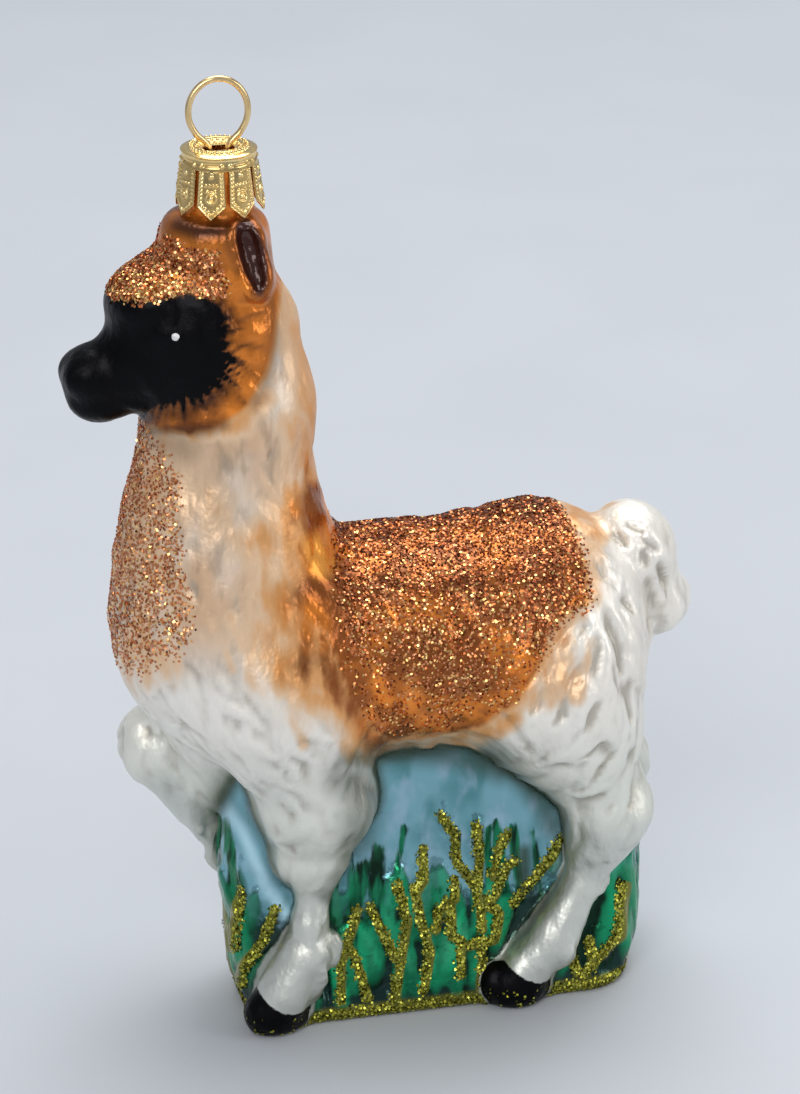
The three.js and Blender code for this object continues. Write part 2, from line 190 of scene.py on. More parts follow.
def lump_distance(piece, x, f, z):
    angle = math.radians(piece.tilt)
    forward, up = f - piece.at[1], z - piece.at[2]
    lx = x - piece.at[0]
    lf = forward * math.cos(angle) + up * math.sin(angle)
    lz = up * math.cos(angle) - forward * math.sin(angle)
    rx, rf, rz = piece.radii
    scaled = np.sqrt((lx / rx) ** 2 + (lf / rf) ** 2 + (lz / rz) ** 2)
    slope = np.sqrt((lx / rx**2) ** 2 + (lf / rf**2) ** 2 + (lz / rz**2) ** 2)
    return scaled * (scaled - 1) / np.maximum(slope, 1e-6)


def piece_distance(piece, x, f, z):
    measure = limb_distance if isinstance(piece, Limb) else lump_distance
    return measure(piece, np.abs(x) if piece.mirrored else x, f, z)


def piece_box(piece):
    """The lowest and highest corners that a piece can change."""
    if isinstance(piece, Limb):
        ends = np.array([piece.start, piece.end])
        spread = max(piece.radii) * max(1.0, piece.widen)
    else:
        ends = np.array([piece.at])
        spread = max(piece.radii)
    low, high = ends.min(0) - spread - REACH, ends.max(0) + spread + REACH
    if piece.mirrored:
        low[0] = -high[0]
    return low, high


class Grid:
    """Sample planes over the whole figure, and fields held on them."""

    def __init__(self, low, high, step):
        self.step = step
        self.low = np.array(low, float)
        counts = np.ceil((np.array(high) - low) / step).astype(int) + 1
        self.lines = [(low[i] + step * np.arange(counts[i])).astype(np.float32) for i in range(3)]
        self.shape = tuple(counts)

    def blank(self):
        """A field with nothing in it yet."""
        return np.full(self.shape, FAR, np.float32)

    def block(self, low, high):
        """Slices and sample places of the part of the grid between two corners."""
        cuts = []
        for line, a, b in zip(self.lines, low, high):
            cuts.append(slice(np.searchsorted(line, a), np.searchsorted(line, b)))
        xs, fs, zs = [line[cut] for line, cut in zip(self.lines, cuts)]
        return tuple(cuts), xs[:, None, None], fs[None, :, None], zs[None, None, :]

    def add(self, field, pieces):
        for piece in pieces:
            cuts, *places = self.block(*piece_box(piece))
            other = piece_distance(piece, *places)
            if piece.cut:
                field[cuts] = soft_max(field[cuts], -other, piece.blend)
            else:
                field[cuts] = soft_min(field[cuts], other, piece.blend)
        return field


def profile(table, height):
    return np.interp(height, [row[0] for row in table], [row[1] for row in table])


def grass_distance(x, f, z):
    front, back = profile(GRASS_FRONT, z), profile(GRASS_BACK, z)
    out_x = np.abs(x) - profile(GRASS_HALF_WIDTH, z) + GRASS_END_ROUND
    out_f = np.abs(f - (front + back) / 2) - (front - back) / 2 + GRASS_END_ROUND
    outside = np.hypot(np.maximum(out_x, 0), np.maximum(out_f, 0))
    slab = outside + np.minimum(np.maximum(out_x, out_f), 0) - GRASS_END_ROUND
    return soft_max(slab, z - GRASS_TOP, GRASS_TOP_BLEND)


def collar_distance(x, f, z):
    side = np.maximum(np.hypot(x, f - COLLAR_FORWARD) - COLLAR_RADIUS, COLLAR_FOOT - z)
    return soft_max(side, z - COLLAR_TOP, COLLAR_EDGE)


def pike_distance(x, f, z):
    side = np.hypot(x, f - PIKE_FORWARD)
    tube = np.maximum(side - PIKE_RADIUS, np.maximum(z - PIKE_TOP, PIKE_FOOT - z))
    bore = np.maximum(side - PIKE_BORE_RADIUS, PIKE_BORE_FOOT - z)
    return tube, bore


def glass_field(grid):
    """Distance to the whole blown glass on every sample of the grid, negative inside."""
    _, x, f, z = grid.block((-FAR,) * 3, (FAR,) * 3)
    whole = grid.add(grid.blank(), TRUNK + NECK + THIGHS + FOREARMS + TAIL)
    whole = soft_min(whole, grass_distance(x, f, z), GRASS_BLEND)
    whole = soft_min(whole, grid.add(grid.blank(), SHINS + HOOVES), LEG_BLEND)
    whole = soft_min(whole, grid.add(collar_distance(x, f, z), HEAD + EARS), HEAD_BLEND)
    tube, bore = pike_distance(x, f, z)
    whole = soft_max(soft_min(whole, tube, PIKE_BLEND), -bore, BORE_BLEND)
    return soft_max(whole, -z, FOOT_BLEND).astype(np.float32)


def distance_at(points, pieces):
    """Distance from each point to the nearest of some pieces, with no blending."""
    return np.minimum.reduce([piece_distance(piece, *points.T) for piece in pieces])


# ---- a smooth mesh from a field -----------------------------------------------------------

CORNERS = [(i, j, k) for i in (0, 1) for j in (0, 1) for k in (0, 1)]
CELL_EDGES = [
    (a, b) for a in CORNERS for b in CORNERS if sum(b) - sum(a) == 1 and all(np.array(b) >= a)
]


def mesh_of(field, grid):
    """Surface nets: one vertex in each cell the surface crosses, one quad across each crossed edge."""
    inside = field < 0
    nx, ny, nz = [count - 1 for count in field.shape]
    filled = sum(inside[i:nx + i, j:ny + j, k:nz + k].astype(np.int8) for i, j, k in CORNERS)
    crossed = (filled > 0) & (filled < 8)
    cells = np.argwhere(crossed)
    number = np.full(crossed.shape, -1)
    number[crossed] = np.arange(len(cells))
    at_corner = {c: field[tuple((cells + c).T)] for c in CORNERS}
    total, count = np.zeros((len(cells), 3)), np.zeros(len(cells))
    for a, b in CELL_EDGES:
        va, vb = at_corner[a], at_corner[b]
        hit = (va < 0) != (vb < 0)
        t = np.where(hit, va / np.where(va == vb, 1, va - vb), 0)
        total += hit[:, None] * (np.array(a) + (np.array(b) - a) * t[:, None])
        count += hit
    points = grid.low + grid.step * (cells + total / count[:, None])
    faces = [quads_across(axis, inside, number) for axis in range(3)]
    return points, np.concatenate(faces)


def quads_across(axis, inside, number):
    one, two = [other for other in range(3) if other != axis]
    near, far = [slice(None)] * 3, [slice(None)] * 3
    near[axis], far[axis] = slice(0, -1), slice(1, None)
    starts = inside[tuple(near)]
    edges = np.argwhere(starts != inside[tuple(far)])
    ring = []
    for step_one, step_two in ((1, 1), (0, 1), (0, 0), (1, 0)):
        cell = edges.copy()
        cell[:, one] -= step_one
        cell[:, two] -= step_two
        ring.append(number[tuple(cell.T)])
    quads = np.stack(ring, 1)
    turned = starts[tuple(edges.T)] == (axis == 1)
    quads[turned] = quads[turned][:, ::-1]
    return quads[:, ::-1]  # to_row() mirrors the figure, so its faces are wound the other way here


def corner_normals(points, quads):
    """A unit normal at each vertex, pointing out of the glass, in the figure's own frame."""
    a, b, c, d = [points[quads[:, i]] for i in range(4)]
    flat = np.cross(c - a, d - b)
    normals = np.zeros_like(points)
    for corner in range(4):
        for axis in range(3):
            normals[:, axis] += np.bincount(quads[:, corner], flat[:, axis], len(points))
    return -normals / np.maximum(np.linalg.norm(normals, axis=1), 1e-9)[:, None]


def smoothed(values, quads, rounds):
    """Evens a number over each vertex's neighbours."""
    pairs = np.concatenate([quads[:, [i, (i + 1) % 4]] for i in range(4)])
    count = np.bincount(pairs.ravel(), minlength=len(values))
    for _ in range(rounds):
        total = np.bincount(pairs[:, 0], values[pairs[:, 1]], len(values))
        total += np.bincount(pairs[:, 1], values[pairs[:, 0]], len(values))
        values = 0.5 * values + 0.5 * total / np.maximum(count, 1)
    return values


# ---- the camera, and outlines measured on the photograph ----------------------------------

PICTURE = (800, 1094)
CAMERA_AT = (451.2, -112.5, 263.0)  # millimetres, in the row's directions from the figure's foot
CAMERA_YAW = 166.494
CAMERA_PITCH = -23.345
FOCAL_PX = 3973.3
SENSOR_MM = 36
PX_PER_MM = 7.8


def camera_axes():
    yaw, pitch = math.radians(CAMERA_YAW), math.radians(CAMERA_PITCH)
    level = math.cos(pitch)
    ahead = np.array([level * math.cos(yaw), level * math.sin(yaw), math.sin(pitch)])
    right = np.cross(ahead, [0, 0, 1])
    right /= np.linalg.norm(right)
    return ahead, right, np.cross(right, ahead)


def picture_px(points):
    """Where the photograph shows points of the figure, the far side taken as the near side's mirror."""
    ahead, right, up = camera_axes()
    away = np.abs(points) * [1, 0, 0] + points * [0, -1, 1] - CAMERA_AT
    depth = away @ ahead
    across = PICTURE[0] / 2 + FOCAL_PX * (away @ right) / depth
    down = PICTURE[1] / 2 - FOCAL_PX * (away @ up) / depth
    return np.stack([across, down], 1)


def line_distance(px, line):
    """Picture distance from each place to a drawn line."""
    best = np.full(len(px), FAR)
    for start, end in zip(np.array(line[:-1], float), np.array(line[1:], float)):
        along = end - start
        t = np.clip(((px - start) @ along) / max(along @ along, 1e-9), 0, 1)
        best = np.minimum(best, np.linalg.norm(px - start - t[:, None] * along, axis=1))
    return best


def inside_outline(px, outline):
    """Picture distance to a closed outline, positive inside it."""
    within = np.zeros(len(px), bool)
    u, v = px.T
    for (u0, v0), (u1, v1) in zip(outline, outline[1:] + outline[:1]):
        if v0 != v1:
            within ^= ((v0 > v) != (v1 > v)) & (u < u0 + (v - v0) * (u1 - u0) / (v1 - v0))
    edge = line_distance(px, outline + outline[:1])
    return np.where(within, edge, -edge)


def ease(value, low, high):
    t = np.clip((value - low) / (high - low), 0, 1)
    return t * t * (3 - 2 * t)


# ---- hair and leaves moulded in the glass -------------------------------------------------

# How the coat lies: a place on the side of the figure (forward, up), and the way it is combed there.
COMBED = [
    ((34, 90), (-0.9, -0.5)), ((26, 94), (-0.5, -1)), ((32, 80), (0.05, -1)), ((20, 82), (-0.1, -1)),
    ((34, 70), (0.1, -1)), ((24, 70), (-0.15, -1)), ((15, 74), (-0.7, -1)), ((40, 58), (-0.15, -1)),
    ((30, 56), (-0.45, -1)), ((21, 60), (-0.6, -1)), ((18, 46), (-0.35, -1)), ((15, 34), (0.05, -1)),
    ((30, 40), (-0.5, -1)), ((5, 62), (-0.4, -1)), ((-8, 62), (-0.1, -1)), ((4, 46), (-0.9, -0.8)),
    ((-4, 42), (-1, -0.35)), ((-12, 54), (0.45, -1)), ((-14, 42), (0.5, -1)), ((-18, 66), (-0.8, -0.9)),
    ((-22, 58), (-0.35, -1)), ((-24, 46), (-0.1, -1)), ((-22, 34), (0.15, -1)),
    ((-29, 58), (-0.35, -1)),
]
COMB_REACH = 7.0
LOCK_LENGTH = 9.0
LOCK_WIDTH = 2.9
LOCK_SETS = [(1300, 1.0), (700, 0.66)]  # how many locks, and their size
LOCK_SIZES = (0.75, 1.3)
LOCK_TURN = 0.2
LOCK_BENDS = (0.05, 0.4)
LOCK_WIDTHS = (0.75, 1.25)
LOCK_BASE = 0.55  # the most that a lock lies on top of others, as a share of its height
COAT_DEPTH = 0.62
COAT_SINK = 0.45  # the share of the hair's depth that lies below the plain surface
COAT_SEED = 7
FULL_CHANCE_DEPTH = 0.4  # hair at least this deep gets its full share of locks
LEAF_COUNT = 330
LEAF_TOP = 24.0
LEAF_LEAN = 0.12
LEAF_LENGTHS = (6, 10.5)
LEAF_WIDTHS = (1.7, 2.6)
LEAF_HEIGHTS = (0.55, 0.8)
LEAF_BASES = (0, 0.5)
LEAF_SEED = 11
HOLLOW_ROUNDS = 14
HOLLOW_DEPTH = 0.22
FOLD_CLEAR_OF_MIDDLE = 0.5
FOLD_REACH = 1.5  # how much longer a fold may be on the figure than in the picture
FOLD_OVERSHOOT = 1.15
FOLD_BEND = 0.08
# Folds behind the face mask and on the flank: where each starts and ends in the picture, its width
# and height in millimetres.
FOLDS = [
    ((228, 300), (256, 296), 1.8, 0.7), ((232, 316), (264, 306), 1.8, 0.85),
    ((236, 334), (266, 332), 1.9, 0.95), ((238, 354), (265, 362), 1.9, 0.95),
    ((228, 372), (254, 390), 1.9, 0.95), ((214, 386), (236, 412), 1.8, 0.85),
    ((196, 400), (208, 426), 1.7, 0.7), ((170, 408), (174, 428), 1.6, 0.5),
    ((240, 324), (266, 319), 1.2, 0.6), ((236, 364), (260, 377), 1.2, 0.7),
    ((222, 380), (246, 400), 1.1, 0.6), ((578, 598), (556, 668), 2.3, 1.3),
    ((590, 606), (566, 694), 2.3, 1.4), ((602, 614), (580, 704), 2.3, 1.3),
    ((612, 632), (596, 716), 2.2, 1.3), ((548, 664), (528, 712), 2.2, 1.2),
    ((568, 690), (546, 736), 2.2, 1.2),
]
# Grooves between the strands of the rump, the tail and the flank: start, end, width and depth.
GROOVES = [
    ((594, 558), (607, 578), 1.7, 1.1), ((607, 572), (618, 590), 1.6, 0.6),
    ((618, 594), (634, 610), 1.7, 0.8), ((621, 523), (644, 531), 1.6, 1.1),
    ((607, 526), (627, 544), 1.7, 1.0), ((633, 535), (659, 548), 1.6, 1.0),
    ((640, 545), (650, 566), 1.7, 1.3), ((654, 558), (675, 580), 1.7, 1.3),
    ((662, 564), (670, 592), 1.6, 0.8), ((648, 572), (658, 604), 1.6, 0.8),
    ((566, 622), (552, 678), 1.9, 1.3), ((578, 609), (565, 644), 1.8, 1.3),
    ((582, 655), (568, 690), 1.8, 1.4), ((592, 660), (566, 704), 1.7, 1.1),
    ((598, 622), (594, 678), 1.8, 1.1), ((604, 606), (626, 666), 2.0, 1.3),
    ((612, 654), (620, 688), 1.8, 1.1), ((589, 618), (580, 638), 1.6, 1.1),
    ((546, 680), (536, 712), 1.7, 1.1), ((574, 692), (556, 722), 1.7, 1.1),
    ((600, 690), (588, 728), 1.8, 1.1), ((626, 670), (630, 716), 1.8, 1.1),
]


def across_normals(directions, normals):
    flat = directions - (directions * normals).sum(1)[:, None] * normals
    return flat / np.maximum(np.linalg.norm(flat, axis=1), 1e-6)[:, None]


def coat_flow(points, normals):
    """The way the hair lies at each point, along the surface."""
    total = np.zeros((len(points), 2))
    for (forward, up), way in COMBED:
        near = (points[:, 1] - forward) ** 2 + (points[:, 2] - up) ** 2
        way = np.array(way) / np.hypot(*way)
        total += way / (near + 0.25 * COMB_REACH**2)[:, None] ** 2
    total /= np.linalg.norm(total, axis=1)[:, None]
    outward = np.sign(points[:, 0]) * np.clip(normals[:, 2], 0, 1)
    return across_normals(np.column_stack([outward, total]), normals)


def coat_depth(points, parts):
    """How deep the moulded hair is, in millimetres."""
    f, z = points[:, 1], points[:, 2]
    deeper_flank = 0.34 * ease(-f, 2, 12) * ease(z, 26, 40)
    under_saddle = 0.55 * ease(z, 57, 64) * ease(19 - f, 0, 3) * ease(parts.tail, 0, 2.5)
    tail_strands = 0.3 * ease(1.2 - parts.tail, 0, 1)
    rump_top = 0.75 * ease(-f, 14, 18) * ease(z, 56, 60)
    neck = 0.25 * ease(z, 66, 76)
    smooth_shins = 0.9 * ease(1.5 - parts.shins, 0, 2) * ease(-z, -33, -24)
    legs = 0.35 * ease(-z, -44, -34)
    smooth_head = 0.8 * ease(2 - parts.head, 0, 2.5) * ease(z, 84, 90)
    depth = (COAT_DEPTH + deeper_flank) * (1 - under_saddle) + tail_strands
    for less in (rump_top, neck, smooth_shins, legs, smooth_head):
        depth *= 1 - less
    return depth * (ease(parts.grass - parts.animal, -0.5, 1.6) * ease(107 - z, 0, 4))


class Relief:
    """Strokes raised on a skin or sunk in it: overlapping locks or leaves with drawn-out tips."""

    def __init__(self, points, normals, seed):
        self.points, self.normals = points, normals
        self.height = np.zeros(len(points))
        self.tone = np.full(len(points), 0.5)
        self.random = np.random.default_rng(seed)
        self.cell = 3.0  # millimetres
        keys = np.floor(points / self.cell).astype(int)
        self.low = keys.min(0)
        self.spread = keys.max(0) - self.low + 3
        flat = self.key(keys)
        self.order = np.argsort(flat, kind="stable")
        self.sorted = flat[self.order]

    def key(self, cells):
        shifted = cells - self.low + 1
        return (shifted[..., 0] * self.spread[1] + shifted[..., 1]) * self.spread[2] + shifted[..., 2]

    def near(self, place, reach):
        """Vertices in the cells within reach of a place."""
        first = np.floor((place - reach) / self.cell).astype(int)
        last = np.floor((place + reach) / self.cell).astype(int)
        found = []
        for i in range(first[0], last[0] + 1):
            for j in range(first[1], last[1] + 1):
                ends = self.key(np.array([[i, j, first[2]], [i, j, last[2]]]))
                start, stop = np.searchsorted(self.sorted, [ends[0], ends[1] + 1])
                found.append(self.order[start:stop])
        return np.concatenate(found)

    def ridge(self, root, along, length, width, bend):
        """The vertices under a stroke from root, bending sideways, and its shape there."""
        place, normal = self.points[root], self.normals[root]
        found = self.near(place + along * length / 2, length * 0.55)
        away = self.points[found] - place
        side = np.cross(normal, along)
        s = away @ along / length
        t = away @ side - bend * length * (s * s)
        # widest before the middle, drawn out to the tip, and highest near it
        half = width / 2 * np.clip(1.25 * np.sin(np.clip(s, 0, 1) ** 0.7 * math.pi), 1e-3, 1)
        ridge = np.clip(1 - (t / half) ** 2, 0, 1) ** 0.7
        ridge *= ease(s, 0, 0.35) * (0.55 + 0.45 * np.clip(s, 0, 1))
        facing = (self.normals[found] @ normal > 0.1) & (np.abs(away @ normal) < width * 1.6)
        under = facing & (s > 0) & (s < 1) & (ridge > 0)
        return found[under], ridge[under]

    def stroke(self, root, along, length, width, height, bend, base=0.0):
        """One raised stroke, highest near its tip."""
        found, ridge = self.ridge(root, along, length, width, bend)
        raised = base + height * ridge
        higher = raised > self.height[found]
        self.height[found[higher]] = raised[higher]
        self.tone[found[higher]] = self.random.random()

    def groove(self, root, along, length, width, depth, bend):
        """One sunk stroke."""
        found, ridge = self.ridge(root, along, length, width, bend)
        self.height[found] -= depth * ridge


Parts = namedtuple("Parts", "animal head shins hooves tail grass")


def parts_at(points):
    """Distance from each point to the animal's parts and to the grass."""
    head = distance_at(points, HEAD)
    shins = distance_at(points, SHINS)
    hooves = distance_at(points, HOOVES)
    tail = distance_at(points, TAIL)
    rest = distance_at(points, TRUNK + NECK + THIGHS + FOREARMS)
    animal = np.minimum.reduce([head, shins, hooves, tail, rest])
    return Parts(animal, head, shins, hooves, tail, grass_distance(*points.T))


def hollows(height, quads):
    """How far each place lies below its surroundings in the relief, 0 on ridges and 1 in valleys."""
    around = smoothed(height, quads, HOLLOW_ROUNDS)
    return np.clip((around - height) / HOLLOW_DEPTH, 0, 1)


def comb_coat(points, normals, parts):
    """The moulded hair: overlapping wavy locks that follow the lie of the coat, in two sizes."""
    relief = Relief(points, normals, COAT_SEED)
    flow, depth = coat_flow(points, normals), coat_depth(points, parts)
    chance = np.clip(depth / FULL_CHANCE_DEPTH, 0, 1)
    chance /= chance.sum()
    for count, scale in LOCK_SETS:
        for root in relief.random.choice(len(points), count, p=chance):
            size = scale * relief.random.uniform(*LOCK_SIZES)
            turn = relief.random.normal(0, LOCK_TURN)
            along = flow[root] + turn * np.cross(normals[root], flow[root])
            along /= np.linalg.norm(along)
            bend = relief.random.choice([-1, 1]) * relief.random.uniform(*LOCK_BENDS)
            width = LOCK_WIDTH * size * relief.random.uniform(*LOCK_WIDTHS)
            high = depth[root] * scale
            base = LOCK_BASE * high * relief.random.random()
            relief.stroke(root, along, LOCK_LENGTH * size, width, high, bend, base)
    return relief


def grow_leaves(points, normals, parts):
    """Pointed leaves moulded in the grass, densest near the foot."""
    relief = Relief(points, normals, LEAF_SEED)
    z = points[:, 2]
    chance = ease(parts.animal - parts.grass, 0.1, 0.8) * ease(-z, -LEAF_TOP, -3) ** 1.5 * (z > 0.3)
    chance *= np.abs(normals[:, 2]) < 0.7
    roots = relief.random.choice(len(points), LEAF_COUNT, p=chance / chance.sum())
    for root in roots:
        lean = relief.random.normal(0, LEAF_LEAN)
        level = np.cross(normals[root], [0, 0, 1.0])
        along = across_normals(np.array([[0, 0, 1.0]]) + lean * level, normals[root:root + 1])[0]
        length, width, height, base = [
            relief.random.uniform(*limits)
            for limits in (LEAF_LENGTHS, LEAF_WIDTHS, LEAF_HEIGHTS, LEAF_BASES)
        ]
        relief.stroke(root, along, length, width, height, lean, base)
    return relief


def picture_strokes(points, rows):
    """Lines drawn on the picture, laid on both sides of the figure.

    Each is what Relief.stroke and Relief.groove take: root, direction, length, width, height, bend.
    """
    px = picture_px(points)
    mirrored = np.sign(points[:, :1]) * [1, 0, 0] + [0, -1, 1]
    to_camera = np.linalg.norm(CAMERA_AT - points * mirrored, axis=1)
    for start, end, width, height in rows:
        for side in (1, -1):
            away = np.where(points[:, 0] * side > FOLD_CLEAR_OF_MIDDLE, to_camera, np.inf)
            root = np.argmin(np.hypot(*(px - start).T) + away)
            reach = FOLD_REACH * math.dist(start, end) / PX_PER_MM
            away[np.linalg.norm(points - points[root], axis=1) > reach] = np.inf
            tip = np.argmin(np.hypot(*(px - end).T) + away)
            along = points[tip] - points[root]
            length = np.linalg.norm(along)
            yield root, along / length, length * FOLD_OVERSHOOT, width, height, FOLD_BEND * side


def add_folds(relief, points):
    """Folds fanning back over the cheek and down the flank, and grooves between the strands."""
    for stroke in picture_strokes(points, FOLDS):
        relief.stroke(*stroke)
    for stroke in picture_strokes(points, GROOVES):
        relief.groove(*stroke)


# ---- where the paint goes -----------------------------------------------------------------

FACE_MASK = [
    (30, 330), (90, 285), (112, 296), (140, 302), (165, 298), (190, 292), (205, 296), (218, 304),
    (227, 314), (229, 330), (225, 342), (232, 354), (233, 364), (227, 376), (219, 386), (209, 395),
    (198, 402), (180, 405), (160, 408), (144, 416), (130, 430), (30, 440),
]
HEAD_LACQUER = [
    (165, 190), (280, 190), (280, 285), (277, 300), (271, 340), (262, 375), (246, 404), (216, 427),
    (190, 432), (150, 424), (130, 440), (40, 440), (40, 320), (100, 250), (160, 240),
]
FEATHER_CENTRE = (176, 340)
FEATHER_WAVES = (14, 74, 14)  # fewest and most waves round the eye, and how many sets of them
FEATHER_SEED = 21
EAR_HOLLOW = [
    (243, 220), (250, 222), (257, 232), (263, 248), (266, 266), (266, 284), (261, 294), (254, 291),
    (247, 276), (240, 257), (236, 240), (237, 227),
]
SADDLE_LACQUER = [
    (338, 500), (326, 540), (322, 600), (326, 650), (342, 690), (368, 728), (400, 748), (440, 742),
    (480, 727), (516, 704), (538, 676), (548, 640), (564, 614), (590, 602), (585, 563), (578, 542),
    (571, 526), (560, 506), (556, 490), (480, 470), (400, 490),
]
# Airbrushed strokes of orange lacquer: picture points, half-width in pixels, strength.
DABS = [
    ([(300, 432), (308, 466), (318, 500)], 15, 0.55), ([(326, 500), (338, 520), (334, 545)], 16, 0.95),
    ([(320, 506), (324, 530), (325, 560), (320, 610)], 24, 1),
    ([(296, 510), (300, 560), (300, 616)], 22, 0.66), ([(280, 430), (288, 500), (288, 560)], 16, 0.3),
    ([(160, 450), (130, 540), (146, 650)], 28, 0.34), ([(196, 450), (212, 500), (226, 540)], 22, 0.26),
    ([(262, 540), (278, 580), (296, 616)], 17, 0.46), ([(254, 586), (280, 622)], 7, 0.29),
    ([(243, 590), (254, 630)], 5, 0.26), ([(231, 616), (243, 648)], 5, 0.34),
    ([(227, 652), (234, 670)], 4, 0.37), ([(252, 676), (268, 690)], 9, 0.22),
    ([(284, 604), (304, 658)], 9, 0.31), ([(304, 622), (330, 672), (368, 716)], 12, 0.8),
    ([(298, 694), (334, 724)], 6, 0.34), ([(284, 704), (304, 744)], 5, 0.22),
    ([(330, 712), (352, 752)], 7, 0.36), ([(320, 640), (345, 700), (374, 738)], 14, 0.85),
    ([(352, 708), (380, 750)], 8, 0.37), ([(240, 640), (300, 700)], 24, 0.2),
    ([(210, 564), (222, 590), (230, 596)], 4, 0.14), ([(232, 540), (242, 580)], 6, 0.12),
    ([(250, 500), (268, 540)], 14, 0.16), ([(296, 596), (310, 640), (302, 668)], 22, 0.8),
    ([(262, 636), (282, 664)], 20, 0.42), ([(300, 690), (322, 700)], 12, 0.5),
    ([(566, 508), (580, 522), (590, 530)], 13, 0.46), ([(584, 510), (616, 512)], 7, 0.24),
    ([(584, 540), (592, 566), (596, 598)], 9, 0.36), ([(566, 612), (550, 650), (530, 690)], 13, 0.45),
    ([(384, 742), (430, 745), (480, 733), (512, 716)], 8, 0.45), ([(570, 636), (552, 694)], 10, 0.38),
    ([(590, 646), (574, 696)], 7, 0.3), ([(552, 632), (556, 672), (546, 702)], 8, 0.22),
    ([(524, 690), (512, 720)], 8, 0.25), ([(200, 432), (240, 424), (262, 398)], 10, 0.5),
    ([(266, 330), (270, 390), (262, 420)], 9, 0.22), ([(272, 300), (276, 340)], 7, 0.19),
    ([(290, 340), (296, 420), (304, 470)], 14, 0.2), ([(280, 292), (292, 344)], 13, 0.42),
    ([(296, 330), (312, 400), (318, 470)], 13, 0.52),
]
# Painted highlight: a bright orange spot on the neck.
NECK_HIGHLIGHT_STROKES = [([(312, 546), (322, 566)], 13, 1.0)]
# Deep orange strokes: painted shade in the crease under the collar, and a deeper band under the
# forelock.
CREASE_SHADE_AND_BROW_BAND = [
    ([(184, 222), (204, 232), (222, 232), (234, 224)], 9, 1.0),
    ([(112, 286), (150, 264), (190, 262), (214, 268)], 13, 0.75),
]
# Painted shade in dark brown, airbrushed round the mask, under the jaw, over the crown, in the cheek's
# folds, along the back of the head, and on the neck and saddle.
UMBER_SHADE_STROKES = [
    ([(140, 420), (180, 414), (212, 402), (228, 386)], 9, 0.85),
    ([(150, 430), (196, 430), (222, 424)], 7, 0.8), ([(160, 440), (190, 450)], 14, 0.45),
    ([(272, 296), (276, 330), (274, 362)], 5, 0.25), ([(176, 226), (198, 234), (216, 230)], 9, 1.0),
    ([(166, 214), (170, 236)], 7, 0.6), ([(292, 596), (304, 640), (306, 672)], 15, 0.32),
    ([(392, 574), (530, 566)], 42, 0.5), ([(214, 460), (219, 540)], 17, 0.18),
    ([(280, 640), (284, 672)], 14, 0.16), ([(221, 220), (228, 242), (238, 268)], 7, 0.65),
    ([(272, 250), (272, 286)], 5, 0.5), ([(234, 322), (262, 311)], 2.6, 0.6),
    ([(237, 344), (264, 347)], 2.6, 0.6), ([(234, 362), (258, 378)], 2.8, 0.65),
    ([(222, 378), (244, 402)], 2.8, 0.65), ([(204, 394), (218, 418)], 2.8, 0.6),
    ([(240, 300), (262, 292)], 2.4, 0.4), ([(268, 290), (272, 330), (269, 370), (256, 402)], 8, 0.55),
]
# Painted shade, sprayed in olive between the legs and the grass.
SHADE_STROKES = [
    ([(344, 776), (360, 800), (356, 836)], 15, 0.62),
    ([(334, 764), (352, 800), (346, 850), (326, 896)], 5, 0.5),
    ([(490, 752), (518, 776), (542, 802), (554, 828)], 9, 0.7),
    ([(346, 760), (400, 752), (460, 758), (500, 772)], 9, 0.7), ([(222, 800), (262, 832)], 8, 0.25),
    ([(524, 852), (526, 890)], 5, 0.9), ([(572, 880), (546, 916), (520, 950)], 4, 0.3),
    ([(336, 884), (334, 925), (326, 960)], 4, 0.3),
]
# Painted highlight in pale blue in front of the near foreleg.
BLUE_HIGHLIGHT_STROKES = [
    ([(218, 796), (242, 830), (256, 864), (268, 888), (286, 914)], 5, 0.95),
    ([(562, 838), (558, 868)], 4, 0.6),
]
# Lines of glitter glue drawn over the grass, as picture points.
GRASS_GLUE = [
    [(340, 1000), (340, 960), (357, 909)], [(351, 949), (368, 998)], [(370, 907), (395, 958)],
    [(397, 884), (406, 920), (399, 962), (395, 998)],
    [(423, 848), (423, 878), (414, 890), (420, 920), (429, 949), (423, 991)],
    [(454, 880), (454, 897), (439, 907), (435, 928)],
    [(441, 815), (454, 834), (456, 861), (475, 886), (479, 907), (481, 928)],
    [(476, 825), (479, 861), (477, 886)], [(507, 834), (498, 850), (492, 874)],
    [(515, 861), (507, 865), (496, 890), (486, 903)], [(561, 838), (551, 855), (534, 878), (513, 903)],
    [(450, 907), (450, 933), (467, 945), (494, 939), (498, 911), (486, 903)], [(460, 945), (460, 975)],
    [(481, 939), (481, 991)], [(568, 949), (578, 973)], [(589, 939), (593, 966)],
    [(621, 884), (616, 936), (583, 975)], [(242, 890), (236, 947)],
    [(275, 909), (263, 942), (246, 966), (242, 984)],
]
GLUE_HALF_WIDTH = 4.4  # picture pixels
GLUE_HEIGHT = 0.32
GLUE_BAND = 1.9  # a line of glue round the foot, up to this height
CREASE_WIDTH = 6
OUTSIDE = 20.0  # millimetres, enough to keep a mask off other parts of the figure
